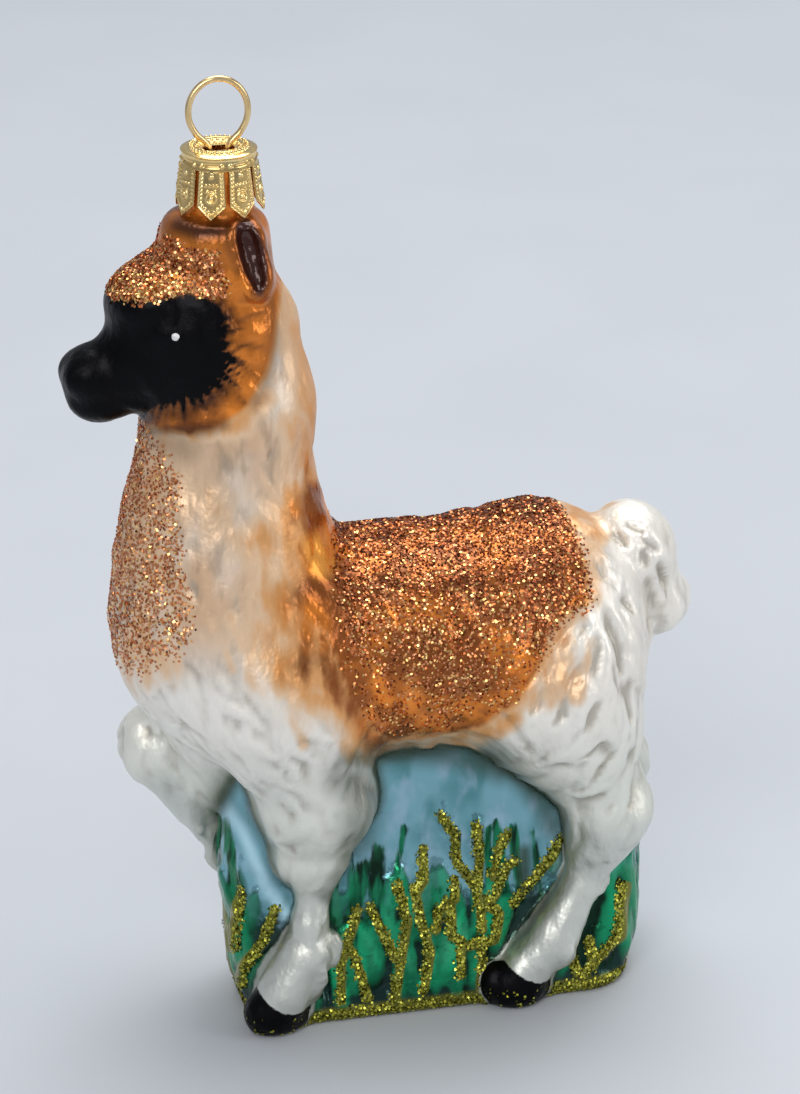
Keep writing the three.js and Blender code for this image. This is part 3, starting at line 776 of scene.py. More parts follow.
# Broad upright strokes of green in the blue: points from foot to tip, half-width, strength.
GREEN_STROKES = [
    ([(222, 900), (216, 850), (212, 812)], 8, 1), ([(240, 940), (234, 880), (226, 822)], 8, 1),
    ([(252, 960), (246, 910), (238, 872)], 7, 0.9), ([(344, 985), (350, 920), (362, 868)], 12, 1),
    ([(372, 985), (372, 920), (380, 850)], 11, 1), ([(392, 900), (398, 858), (404, 828)], 6, 0.8),
    ([(404, 985), (404, 930), (400, 880)], 11, 0.9), ([(432, 985), (432, 930), (436, 890)], 10, 1),
    ([(462, 990), (460, 940), (452, 900)], 12, 1), ([(492, 960), (492, 900), (488, 830)], 8, 0.95),
    ([(506, 930), (502, 870), (496, 822)], 7, 1), ([(520, 900), (516, 850), (512, 828)], 8, 0.9),
    ([(540, 900), (536, 860), (532, 832)], 6, 0.8), ([(575, 970), (590, 930), (604, 880)], 12, 1),
    ([(605, 960), (614, 915), (620, 872)], 12, 1), ([(412, 880), (418, 848)], 4, 0.4),
]


def painted(px, strokes, softness=1.0):
    """How much paint lies at each place, from soft-edged strokes."""
    total = np.zeros(len(px))
    for line, half, strength in strokes:
        away = ease(line_distance(px, line), 0, half * (1 + softness))
        total = np.maximum(total, strength * (1 - away))
    return total


def feathers(px):
    """Ragged brush strokes fanning out around the eye, in picture pixels."""
    random = np.random.default_rng(FEATHER_SEED)
    out = px - FEATHER_CENTRE
    angle = np.arctan2(out[:, 1], out[:, 0])
    total = np.zeros(len(px))
    for waves in random.integers(*FEATHER_WAVES):
        swell = np.sin(random.integers(2, 7) * angle + random.uniform(0, 2 * math.pi))
        total += swell * np.sin(waves * angle + random.uniform(0, 2 * math.pi))
    low_rear = ease(out[:, 0] + out[:, 1], 15, 75)  # the strokes reach furthest there
    return total * (0.2 + 2.2 * low_rear)


def glue_distance(px):
    """Picture distance from each place to the glitter glue's lines."""
    return np.minimum.reduce([line_distance(px, line) for line in GRASS_GLUE])


def paint_masks(points, quads, parts, coat, leaves):
    """Numbers on the skin that the paint shader reads. Lengths are millimetres, positive inside.

    Each mask fades out by height where the picture shows another part behind its outline.
    """
    px = picture_px(points)
    z = points[:, 2]
    on_animal = ease(parts.grass - parts.animal, -0.4, 0.4)
    saddle = ease(inside_outline(px, SADDLE_LACQUER), -9, 10) * ease(z, 38, 44)
    head = ease(inside_outline(px, HEAD_LACQUER), -13, 6) * ease(z, 80, 84)
    collar = ease(z, 103.5, 105)
    glue_width = GLUE_HALF_WIDTH / PX_PER_MM
    glue = np.minimum(glue_distance(px) / PX_PER_MM, np.abs(z) * glue_width / GLUE_BAND)
    face = (inside_outline(px, FACE_MASK) + feathers(px)) / PX_PER_MM
    ear = inside_outline(px, EAR_HOLLOW) / PX_PER_MM
    turf = parts.animal - parts.grass - 0.9 * ease(z, 24, 34)
    return {
        "face": face - OUTSIDE * (1 - ease(z, 76, 80)),
        "orange": np.maximum.reduce([painted(px, DABS, 1.7), saddle, head, collar]) * on_animal,
        "neck_highlight": painted(px, NECK_HIGHLIGHT_STROKES, 0.6),
        "band": painted(px, CREASE_SHADE_AND_BROW_BAND, 0.5) * ease(z, 80, 90),
        "turf": turf,
        # nearness to the line where the body meets the grass, which gets painted shade
        "crease": 1 - np.minimum(np.abs(turf), CREASE_WIDTH) / CREASE_WIDTH,
        "glue": glue_width - glue,
        "green": painted(px, GREEN_STROKES, 0.3),
        "blue_highlight": painted(px, BLUE_HIGHLIGHT_STROKES, 1.2),
        "umber_shade": painted(px, UMBER_SHADE_STROKES, 1.0) * ease(z, 50, 56),
        "shade": painted(px, SHADE_STROKES, 1.4) * ease(-z, -52, -44),
        "leaf": leaves.height,
        "leaf_tone": leaves.tone,
        "hoof": 0.35 - parts.hooves,
        "ear": ear - OUTSIDE * (1 - ease(z, 96, 98)),
        "shin": ease(1.2 - parts.shins, 0, 1.5),
        "neck": ease(z, 50, 62) * ease(-z, -104, -92) * ease(points[:, 1], 6, 15),
        "coat_hollow": hollows(coat.height, quads),
        "leaf_hollow": hollows(leaves.height, quads),
        "height_mm": z,
    }


# ---- the painted skin ---------------------------------------------------------------------

SKIN_STEP = 0.49
SKIN_LOW = (-18.5, -37, -1.2)
SKIN_HIGH = (18.5, 49, 118)
RELIEF_ROUNDS = 2
EAR_RIM = 0.4
EAR_DEPTH = 0.9


def mesh_object(name, points, faces, smooth=True):
    """A new mesh object from points in the row's metres."""
    mesh = bpy.data.meshes.new(name)
    faces = np.asarray(faces)
    mesh.vertices.add(len(points))
    mesh.vertices.foreach_set("co", np.asarray(points, np.float32).ravel())
    mesh.loops.add(faces.size)
    mesh.loops.foreach_set("vertex_index", faces.ravel().astype(np.int32))
    mesh.polygons.add(len(faces))
    mesh.polygons.foreach_set("loop_start", np.arange(0, faces.size, faces.shape[1], dtype=np.int32))
    mesh.update(calc_edges=True)
    mesh.polygons.foreach_set("use_smooth", np.full(len(faces), smooth))
    piece = bpy.data.objects.new(name, mesh)
    bpy.context.scene.collection.objects.link(piece)
    return piece


def add_numbers(piece, name, values):
    """One number for each vertex, which the piece's material reads by name."""
    layer = piece.data.attributes.new(name, "FLOAT", "POINT")
    layer.data.foreach_set("value", np.asarray(values, np.float32))


def glue_relief(parts, glue):
    return GLUE_HEIGHT * ease(glue, -0.25, 0.45) * ease(parts.animal - parts.grass, -0.2, 0.6)


def ear_relief(ear):
    """A rolled rim round a hollow."""
    return EAR_RIM * np.exp(-((ear + 0.5) / 0.5) ** 2) - EAR_DEPTH * ease(ear, -0.2, 1.2)


def make_skin():
    """The whole glass as one fine skin, with its moulded hair and leaves and its paint masks."""
    grid = Grid(SKIN_LOW, SKIN_HIGH, SKIN_STEP)
    points, quads = mesh_of(glass_field(grid), grid)
    normals = corner_normals(points, quads)
    parts = parts_at(points)
    coat, leaves = comb_coat(points, normals, parts), grow_leaves(points, normals, parts)
    add_folds(coat, points)
    coat.height *= ease(parts.grass - parts.animal, -0.8, 0.4)
    for relief in (coat, leaves):
        relief.height = smoothed(relief.height, quads, RELIEF_ROUNDS)
    masks = paint_masks(points, quads, parts, coat, leaves)
    raised = coat.height - COAT_SINK * coat_depth(points, parts)
    raised += leaves.height * ease(points[:, 2], 0.4, 2)
    raised += glue_relief(parts, masks["glue"]) + ear_relief(masks["ear"])
    raised *= ease(points[:, 2], 0.1, 1.5)
    points = points + normals * raised[:, None]
    skin = mesh_object("glass_skin", to_row(points), quads)
    for name, values in masks.items():
        add_numbers(skin, name, values)
    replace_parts(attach(skin, "root"), "glass_body")
    return skin, points, quads


# ---- shader helpers -----------------------------------------------------------------------


class Shader:
    """A node material, built with short calls. Places are the object's own, in millimetres."""

    def __init__(self, name):
        self.material = bpy.data.materials.new(name)
        self.material.use_nodes = True
        self.tree = self.material.node_tree
        self.surface = self.tree.nodes["Principled BSDF"]
        coordinates = self.tree.nodes.new("ShaderNodeTexCoord")
        object_place, to_mm = coordinates.outputs["Object"], (1 / MM,) * 3
        self.place = self.node("ShaderNodeVectorMath", [object_place, to_mm], operation="MULTIPLY")

    def node(self, kind, inputs, output=0, **settings):
        made = self.tree.nodes.new(kind)
        for name, value in settings.items():
            setattr(made, name, value)
        entries = inputs.items() if isinstance(inputs, dict) else enumerate(inputs)
        for key, value in entries:
            if isinstance(value, bpy.types.NodeSocket):
                self.tree.links.new(value, made.inputs[key])
            elif value is not None:
                made.inputs[key].default_value = value
        return made.outputs[output]

    def attribute(self, name):
        settings = {"attribute_name": name, "attribute_type": "GEOMETRY"}
        return self.node("ShaderNodeAttribute", [], "Fac", **settings)

    def attributes(self, *names):
        return [self.attribute(name) for name in names]

    def math(self, operation, a, b):
        return self.node("ShaderNodeMath", [a, b], operation=operation)

    def times(self, a, b):
        return self.math("MULTIPLY", a, b)

    def plus(self, a, b):
        return self.math("ADD", a, b)

    def swing(self, value, size):
        """A number between 0 and 1, turned into one that swings evenly round 0."""
        return self.times(self.math("SUBTRACT", value, 0.5), size)

    def noise(self, scale, detail=2.0, stretch=(1, 1, 1), turn=(0, 0, 0), roughness=0.5):
        mapped = {"Vector": self.place, "Rotation": turn, "Scale": stretch}
        place = self.node("ShaderNodeMapping", mapped)
        return self.node("ShaderNodeTexNoise", {
            "Vector": place, "Scale": scale, "Detail": detail, "Roughness": roughness,
        }, "Fac")

    def step(self, value, low, high, to_low=0.0, to_high=1.0):
        return self.node("ShaderNodeMapRange", {
            "Value": value, "From Min": low, "From Max": high, "To Min": to_low, "To Max": to_high,
        }, "Result", interpolation_type="SMOOTHSTEP")

    def mix(self, share, a, b):
        """A blend of two colours."""
        made = self.tree.nodes.new("ShaderNodeMix")
        made.data_type = "RGBA"
        for socket, value in ((made.inputs[0], share), (made.inputs[6], a), (made.inputs[7], b)):
            if isinstance(value, bpy.types.NodeSocket):
                self.tree.links.new(value, socket)
            elif isinstance(value, tuple):
                socket.default_value = (*value, 1)
            else:
                socket.default_value = value
        return made.outputs[2]

    def coats(self, colour, *coats):
        """Coats of paint over a colour: each one's share, and its tint."""
        for share, tint in coats:
            colour = self.mix(share, colour, tint)
        return colour

    def blend(self, share, a, b):
        """A blend of two numbers."""
        return self.node("ShaderNodeMix", {0: share, 2: a, 3: b}, data_type="FLOAT")

    def wire(self, name, socket):
        self.tree.links.new(socket, self.surface.inputs[name])

    def set(self, **values):
        for name, value in values.items():
            self.surface.inputs[name.replace("_", " ")].default_value = value

    def bump(self, height, depth_mm, strength=1.0):
        normal = self.node("ShaderNodeBump", {
            "Strength": strength, "Distance": depth_mm * MM, "Height": height,
        }, "Normal")
        self.wire("Normal", normal)


def tinted(name, clouds, edges, first, second, **settings):
    """A material whose colour drifts between two tints in soft clouds."""
    s = Shader(name)
    s.wire("Base Color", s.mix(s.step(s.noise(*clouds), *edges), first, second))
    s.set(**settings)
    return s


# ---- paint on the glass -------------------------------------------------------------------

PEARL = (0.92, 0.90, 0.84)
PEARL_NECK = (0.68, 0.45, 0.28)
PEARL_SMUDGE = (0.36, 0.25, 0.16)
PEARL_GREY = (0.44, 0.40, 0.33)
# Painted shade: the pearl darker in the coat's grooves.
PEARL_HOLLOW_SHADE = (0.37, 0.33, 0.27)
# Painted shade: the pearl darker and greenish low on the body.
PEARL_LOW_SHADE = (0.66, 0.70, 0.63)
PEARL_SHADE = (0.16, 0.19, 0.13)
SILVER = (0.66, 0.68, 0.63)
BEIGE = (0.80, 0.56, 0.36)
TAN = (0.74, 0.36, 0.13)
ORANGE = (0.90, 0.27, 0.03)
ORANGE_DEEP = (0.26, 0.07, 0.012)
# Painted highlight on the neck.
ORANGE_HIGHLIGHT = (0.98, 0.40, 0.06)
BROWN = (0.035, 0.011, 0.005)
BLACK = (0.004, 0.004, 0.005)
MAROON = (0.05, 0.013, 0.008)
BLUE = (0.20, 0.42, 0.49)
BLUE_DEEP = (0.10, 0.28, 0.31)
BLUE_PALE = (0.34, 0.50, 0.62)
# Painted highlight in the blue.
BLUE_HIGHLIGHT = (0.52, 0.80, 0.90)
GREEN = (0.008, 0.19, 0.085)
# GREEN_DARK is also the painted shade between the leaves.
GREEN_DARK = (0.001, 0.018, 0.008)
GREEN_BRIGHT = (0.006, 0.36, 0.15)
# Painted highlight on the leaves' ridges.
GREEN_HIGHLIGHT = (0.08, 0.52, 0.26)
# Painted shade in dark olive: the crease where the body meets the grass, and the shade strokes.
OLIVE_SHADE = (0.05, 0.075, 0.05)
GLUE_OLIVE = (0.19, 0.19, 0.03)


def pearl_paint(s, streaks):
    """Pearl white, smudged warm and grey on the neck, with painted shade: greenish low down, darker in
    its grooves and near the grass.
    """
    height, hollow, shin, turf = s.attributes("height_mm", "coat_hollow", "shin", "turf")
    on_neck = s.attribute("neck")
    warmth = s.times(s.step(s.noise(0.11, 2, (1, 1, 0.5)), 0.80, 0.42), s.blend(on_neck, 0.10, 1.0))
    smudge = s.times(s.step(streaks, 0.50, 0.34), s.blend(on_neck, 0.15, 0.55))
    shade = s.times(s.step(turf, -5.0, -0.4), s.step(height, 14, 30, 0.35, 0.95))
    return s.coats(
        PEARL,
        (warmth, PEARL_NECK),
        (smudge, s.mix(on_neck, PEARL_GREY, PEARL_SMUDGE)),
        # painted shade low on the body
        (s.times(s.step(height, 48, 30), 0.65), PEARL_LOW_SHADE),
        # painted shade in the coat's grooves
        (s.times(hollow, 0.7), PEARL_HOLLOW_SHADE),
        (shin, SILVER),
        (shade, PEARL_SHADE),
    )


def lacquer_paint(s, pearl, streaks):
    """Airbrushed orange over the pearl: thin and beige at its edges, deep where it is thick; painted
    shade darkens its grooves and creases, and a painted highlight brightens the neck.
    """
    orange, height, hollow = s.attributes("orange", "height_mm", "coat_hollow")
    on_head = s.step(height, 84, 90)
    brushed = s.swing(streaks, s.blend(on_head, 0.9, 0.2))
    uneven = s.plus(orange, s.times(brushed, s.step(orange, 0.0, 0.3)))
    strong = s.step(uneven, 0.55, 0.92)
    deep = s.mix(s.step(s.noise(0.16, 2), 0.34, 0.60), ORANGE, ORANGE_DEEP)
    colour = s.coats(
        pearl,
        (s.step(uneven, 0.04, 0.34), BEIGE),
        (s.step(uneven, 0.28, 0.62), TAN),
        (strong, s.mix(s.blend(on_head, 0.95, 0.35), ORANGE, deep)),
        # painted shade in the grooves of the orange
        (s.times(hollow, s.times(strong, 0.8)), ORANGE_DEEP),
        # painted highlight on the neck
        (s.attribute("neck_highlight"), ORANGE_HIGHLIGHT),
        # painted shade in the crease under the collar, and the band under the forelock
        (s.attribute("band"), ORANGE_DEEP),
        # painted shade in dark brown
        (s.times(s.attribute("umber_shade"), 0.85), BROWN),
    )
    return colour, strong


def grass_paint(s, ragged):
    """Blue above, green strokes rising into it, moulded leaves with painted shade between them and a
    painted highlight on their ridges, and a pale blue painted highlight.
    """
    height, leaf, tone, hollow = s.attributes("height_mm", "leaf", "leaf_tone", "leaf_hollow")
    strokes = s.plus(s.attribute("green"), s.swing(s.noise(0.7, 3, (1.5, 1.5, 0.3)), 1.5))
    green = s.mix(s.step(s.noise(0.55, 2, (1.4, 1.4, 0.25)), 0.36, 0.60), GREEN_DARK, GREEN)
    # Painted shade: dark green between the leaves and in their hollows.
    blade = s.coats(
        GREEN_DARK,
        (s.step(leaf, 0.25, 0.85), s.mix(tone, GREEN, GREEN_BRIGHT)),
        (s.step(hollow, 0.1, 0.7), GREEN_DARK),
        # painted highlight on the leaves' ridges
        (s.step(leaf, 0.8, 1.15, 0, 0.7), GREEN_HIGHLIGHT),
    )
    low = s.plus(s.step(height, 21, 9), s.swing(ragged, 0.8))
    return s.coats(
        BLUE_DEEP,
        (s.step(s.noise(0.15, 2, (1, 1, 0.6)), 0.36, 0.56), BLUE),
        (s.step(s.noise(0.35, 3, (1, 1, 0.5), (0.6, 0, 0)), 0.48, 0.72, 0, 0.7), BLUE_PALE),
        (s.step(strokes, 0.28, 0.72), green),
        (s.times(s.step(low, 0.3, 0.7), 0.95), blade),
        (s.times(s.step(leaf, 0.35, 0.6), s.step(height, 26, 20, 0, 0.8)), blade),
        # painted highlight in pale blue
        (s.attribute("blue_highlight"), BLUE_HIGHLIGHT),
        (s.step(s.attribute("glue"), -0.15, 0.1), GLUE_OLIVE),
    )


def paint_material():
    s = Shader("painted_glass")
    streaks = s.noise(0.30, 3, (1, 1.3, 0.5), (0.35, 0, 0))
    ragged = s.noise(0.9, 3, roughness=0.6)
    turf, height, ear = s.attributes("turf", "height_mm", "ear")

    on_grass = s.step(s.plus(turf, s.swing(s.noise(0.5, 3), 1.6)), -0.4, 0.5)
    # Painted shade along the crease where the body meets the grass.
    crease_shade = s.times(s.step(s.attribute("crease"), 0.62, 1.0), s.step(height, 18, 32, 0.3, 0.8))
    wander = s.swing(s.noise(1.1, 4, roughness=0.7), 2.2)
    face = s.plus(s.attribute("face"), wander)
    hooved = s.step(s.plus(s.attribute("hoof"), s.times(wander, 0.15)), -0.06, 0.06)
    blackened = s.math("MAXIMUM", s.step(face, -0.35, 0.5), hooved)
    in_ear = s.step(ear, -0.3, 0.15)
    lacquer, strong = lacquer_paint(s, pearl_paint(s, streaks), streaks)
    s.wire("Base Color", s.coats(
        lacquer,
        (on_grass, grass_paint(s, ragged)),
        (crease_shade, OLIVE_SHADE),
        # painted shade between the legs and the grass
        (s.attribute("shade"), OLIVE_SHADE),
        (s.times(s.step(face, -1.9, 0.1), 0.85), BROWN),
        (s.step(ear, -1.0, 0.1), ORANGE_DEEP),
        (in_ear, MAROON),
        (blackened, BLACK),
    ))

    metal = s.blend(strong, s.blend(s.attribute("shin"), 0.45, 0.92), 0.6)
    metal = s.blend(on_grass, metal, 0.8)
    metal = s.blend(in_ear, metal, 0.2)
    s.wire("Metallic", s.blend(blackened, metal, 0.93))
    rough = s.blend(strong, s.step(streaks, 0.3, 0.7, 0.48, 0.40), 0.27)
    rough = s.blend(on_grass, rough, 0.2)
    rough = s.blend(in_ear, rough, 0.12)
    s.wire("Roughness", s.blend(blackened, rough, s.step(ragged, 0.3, 0.7, 0.36, 0.46)))
    s.set(Coat_Weight=0.04, Coat_Roughness=0.25)
    ripple = s.plus(s.noise(0.5, 2, (1, 1, 0.6)), s.times(s.noise(2.2, 2), 0.12))
    s.bump(ripple, 0.3)
    return s.material


# ---- glitter ------------------------------------------------------------------------------

FORELOCK = [
    (103, 290), (112, 276), (125, 263), (145, 251), (160, 243), (167, 236), (176, 241), (186, 248),
    (204, 251), (216, 250), (221, 266), (229, 284), (222, 299), (206, 298), (185, 293), (165, 298),
    (142, 305), (114, 299),
]
BIB = [
    (120, 400), (146, 424), (160, 444), (172, 462), (184, 486), (180, 530), (187, 560), (192, 600),
    (193, 636), (186, 652), (178, 664), (168, 660), (158, 668), (146, 680), (128, 676), (90, 640),
    (90, 500), (110, 440),
]
SADDLE = [
    (322, 478), (336, 512), (333, 535), (335, 600), (342, 660), (350, 690), (378, 736), (440, 734),
    (468, 724), (498, 712), (520, 698), (538, 672), (552, 646), (564, 620), (586, 612), (596, 600),
    (588, 563), (582, 542), (574, 526), (562, 505), (556, 490), (480, 470), (380, 480), (345, 500),
]
FLAKE_RADIUS = 0.175
FLAKE_THICKNESS = 0.035
FLAKE_SIDES = 6
FLAKE_SIZES = (0.85, 1.12)
CLEAR_OF_FLOOR = 0.35
GLITTER_LIMIT = 16000  # flakes in one piece, so that its mesh exports whole


def scatter(points, quads, per_mm2, density, seed):
    """Places spread evenly over the skin, kept by chance where the density function says."""
    random = np.random.default_rng(seed)
    corners = [points[quads[:, i]] for i in range(4)]
    middle = sum(corners) / 4
    thickness = density(middle)
    busy = thickness > 0
    corners, thickness = [corner[busy] for corner in corners], thickness[busy]
    flat = np.cross(corners[2] - corners[0], corners[3] - corners[1]) / 2
    area = np.linalg.norm(flat, axis=1)
    number = random.poisson(area * per_mm2 * thickness)
    chosen = np.repeat(np.arange(len(area)), number)
    u, v = random.random((2, len(chosen), 1))
    near = corners[0][chosen] * (1 - u) + corners[1][chosen] * u
    far = corners[3][chosen] * (1 - u) + corners[2][chosen] * u
    normals = -flat[chosen] / np.maximum(area[chosen], 1e-9)[:, None]
    return near * (1 - v) + far * v, normals, random


def turns(count):
    """Evenly spaced angles once round a circle."""
    return [2 * math.pi * step / count for step in range(count)]


def flake_mesh(places, normals, random, tilt, lift):
    """Flat hexagonal flakes: a level face over a shallow point, each leaning its own way."""
    count = len(places)
    normals = normals + random.normal(0, tilt, (count, 3))
    normals /= np.linalg.norm(normals, axis=1)[:, None]
    across = across_normals(random.normal(0, 1, (count, 3)), normals)
    along = np.cross(normals, across)
    radius = FLAKE_RADIUS * random.uniform(*FLAKE_SIZES, count)
    centre = places + normals * (lift * random.uniform(0.2, 1, count))[:, None]
    rim = []
    for angle in turns(FLAKE_SIDES):
        rim.append(centre + radius[:, None] * (across * math.cos(angle) + along * math.sin(angle)))
    point = centre - normals * FLAKE_THICKNESS * 2
    corners = np.stack(rim + [point], 1).reshape(-1, 3)
    top = [(0, 1, 2), (0, 2, 3), (0, 3, 4), (0, 4, 5)]
    under = [((side + 1) % FLAKE_SIDES, side, FLAKE_SIDES) for side in range(FLAKE_SIDES)]
    one = np.array(top + under)[:, ::-1]
    faces = (one[None] + (FLAKE_SIDES + 1) * np.arange(count)[:, None, None]).reshape(-1, 3)
    return corners, faces


UNWRAP_MM = 300.0
UNWRAP_LEFT, UNWRAP_RIGHT, UNWRAP_FOOT = 0.05, 0.55, 0.05
UNWRAP_BACK = -40
PATCH = 0.003


def bake_map(piece, places, faces):
    """Each flake is a small patch at its own place on an unwrap of the skin's two sides."""
    across = np.where(places[:, 0] >= 0, UNWRAP_LEFT, UNWRAP_RIGHT)
    across += (places[:, 1] - UNWRAP_BACK) / UNWRAP_MM
    root = np.column_stack([across, UNWRAP_FOOT + places[:, 2] / UNWRAP_MM])
    angle = np.array(turns(FLAKE_SIDES))
    shape = np.vstack([np.column_stack([np.cos(angle), np.sin(angle)]) * PATCH / 2, [[0, 0]]])
    corners = (root[:, None] + shape[None]).reshape(-1, 2)
    layer = piece.data.uv_layers.new(name="OFBake")
    layer.data.foreach_set("uv", corners[faces.ravel()].astype(np.float32).ravel())


def glitter(name, found, tilt, lift, finishes, shares):
    """Glitter pieces, each small enough to export, with a few foil tints dealt out by chance."""
    places, normals, random = found
    for part in range(math.ceil(len(places) / GLITTER_LIMIT)):
        cut = slice(part * GLITTER_LIMIT, (part + 1) * GLITTER_LIMIT)
        corners, faces = flake_mesh(places[cut], normals[cut], random, tilt, lift)
        piece = mesh_object(f"{name}_{part + 1}", to_row(corners), faces, smooth=False)
        for finish in finishes:
            piece.data.materials.append(finish)
        tint = random.choice(len(finishes), len(places[cut]), p=shares)
        tint = np.repeat(tint, len(faces) // len(tint)).astype(np.int32)
        piece.data.polygons.foreach_set("material_index", tint)
        bake_map(piece, places[cut], faces)
        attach(piece, "root")


def foil(name, colour, dark, roughness):
    """Cut foil: one tint that varies a little from flake to flake, with a fine scratched sheen."""
    s = tinted(name, (1.9, 1), (0.35, 0.65), dark, colour, Metallic=1.0, Roughness=roughness)
    s.bump(s.noise(9.0, 1), 0.01, 0.3)
    return s.material


# Each foil's name, its two tints and its roughness.
COPPER_FOILS = [
    ("copper_foil", (0.58, 0.185, 0.065), (0.34, 0.09, 0.03), 0.28),
    ("rose_foil", (0.84, 0.38, 0.18), (0.56, 0.20, 0.08), 0.30),
    ("gold_foil", (1.0, 0.66, 0.26), (0.90, 0.46, 0.14), 0.22),
    ("brown_foil", (0.20, 0.055, 0.028), (0.10, 0.026, 0.014), 0.3),
]
OLIVE_FOILS = [
    ("olive_foil", (0.40, 0.38, 0.05), (0.26, 0.25, 0.03), 0.36),
    ("lime_foil", (0.66, 0.66, 0.12), (0.48, 0.47, 0.07), 0.34),
    ("moss_foil", (0.14, 0.15, 0.02), (0.07, 0.08, 0.012), 0.36),
]
CLUMP_WAVES = 9
CLUMP_SWING = 3.2


def clumps(px, seed, size):
    """A gentle unevenness across the picture, from crossed waves, between 0 and 1."""
    random = np.random.default_rng(seed)
    total = np.zeros(len(px))
    for _ in range(CLUMP_WAVES):
        way, phase = random.normal(0, 1, 2) / size, random.uniform(0, 2 * math.pi)
        total += np.sin(px @ way + phase)
    return ease(total, -CLUMP_SWING, CLUMP_SWING)


def saddle_density(places):
    """Thick along the back, thinning to loose rows of flakes low on the side."""
    px = picture_px(places)
    edge = inside_outline(px, SADDLE)
    low = ease(px[:, 1] + 30 * clumps(px, 1, 30), 610, 700)
    front = 1 - 0.55 * ease(372 - px[:, 0], 0, 36) * ease(px[:, 1], 530, 600)
    uneven = 0.35 + 0.9 * clumps(px * [1, 0.55], 2, 7)
    dense = ease(edge, -4, 8) * (1 - low * 0.55) * front
    thick = dense * (1 - (0.25 + 0.75 * low) * (1 - np.minimum(uneven, 1)))
    return np.clip(thick, 0, 1) * (places[:, 2] > 38) * (places[:, 1] < 24)


def flank_highlight_share(places):
    """Painted highlight: the saddle's lower part, whose flakes get paler foils."""
    return 0.85 * ease(picture_px(places)[:, 1], 560, 650)


def bib_density(places):
    px = picture_px(places)
    edge = inside_outline(px, BIB)
    fade = 1 - 0.55 * ease(px[:, 1], 620, 680)
    below_chin = (distance_at(places, HEAD) > 0.6) * (places[:, 2] < 86)
    return ease(edge, -5, 12) * fade * below_chin * (places[:, 2] > 50) * (places[:, 1] > 20)


def crest_density(places):
    return ease(inside_outline(picture_px(places), FORELOCK), -4, 4) * (places[:, 2] > 90)


def brow_share(places):
    """The forelock's golden lower front."""
    across, down = picture_px(places).T
    return 0.85 * ease(down, 262, 286) * ease(-across, -210, -180)


def glue_density(places):
    parts, height = parts_at(places), places[:, 2]
    strokes = ease(GLUE_HALF_WIDTH - glue_distance(picture_px(places)), -1.5, 1.5)
    band = ease(GLUE_BAND - height, -0.4, 0.6)
    on_grass = (parts.animal - parts.grass > -0.2) & (parts.hooves > 0.45)
    return np.maximum(strokes, band) * on_grass * (height > CLEAR_OF_FLOOR)


def hoof_density(places):
    height = places[:, 2]
    return 0.12 * (distance_at(places, HOOVES) < 0.4) * (height < 3.5) * (height > CLEAR_OF_FLOOR)


def within(density, share):
    """The share of a glittered patch that one mix of foils takes."""
    return lambda places: density(places) * share(places)


def outside(density, share):
    """The rest of that patch."""
    return lambda places: density(places) * (1 - share(places))


# Name, density, flakes in a square millimetre, seed, tilt, lift, the foils, and each foil's share.
PATCHES = [
    ("glitter_back", outside(saddle_density, flank_highlight_share), 15, 1, 0.32, 0.16, COPPER_FOILS,
     (0.48, 0.20, 0.10, 0.22)),
    # painted highlight: paler foils low on the saddle
    ("glitter_flank", within(saddle_density, flank_highlight_share), 15, 7, 0.42, 0.16, COPPER_FOILS,
     (0.24, 0.46, 0.26, 0.04)),
    ("glitter_bib", bib_density, 9.5, 2, 0.32, 0.14, COPPER_FOILS, (0.18, 0.62, 0.18, 0.02)),
    ("glitter_forelock", outside(crest_density, brow_share), 22, 3, 0.32, 0.16, COPPER_FOILS,
     (0.34, 0.44, 0.16, 0.06)),
    ("glitter_brow", within(crest_density, brow_share), 22, 6, 0.32, 0.16, COPPER_FOILS,
     (0.22, 0.24, 0.52, 0.02)),
    ("glitter_grass", glue_density, 20, 4, 0.38, 0.2, OLIVE_FOILS, (0.48, 0.36, 0.16)),
    ("glitter_hooves", hoof_density, 8, 5, 0.4, 0.1, OLIVE_FOILS, (0.48, 0.36, 0.16)),
]


def add_glitter(points, quads):
    finishes = {row[0]: foil(*row) for row in COPPER_FOILS + OLIVE_FOILS}
    for name, density, per_mm2, seed, tilt, lift, foils, shares in PATCHES:
        found = scatter(points, quads, per_mm2, density, seed)
        glitter(name, found, tilt, lift, [finishes[row[0]] for row in foils], shares)


# ---- eyes ---------------------------------------------------------------------------------

EYE_PX = (175.6, 337.2)
EYE_RADIUS = 0.5
EYE_HEIGHT = 0.3
EYE_SINK = 0.08
DOT_SEGMENTS = 24
DOT_RINGS = 14
EYE_GREY = (0.60, 0.60, 0.60)
EYE_WHITE = (0.82, 0.82, 0.81)
EYE_POINTS = 6  # how many of the skin's points the dot is placed by


def eye_places(points, quads):
    """The painted dot's place on each side of the head, where the glass faces out, and its facing."""
    px = picture_px(points)
    normals = corner_normals(points, quads)
    for side in (1, -1):
        facing = (points[:, 0] * side > 3) & (points[:, 2] > 85) & (normals[:, 0] * side > 0.3)
        miss = np.where(facing, np.hypot(*(px - EYE_PX).T), FAR)
        best = np.argsort(miss)[:EYE_POINTS]
        normal = normals[best].mean(0)
        yield points[best].mean(0), normal / np.linalg.norm(normal)


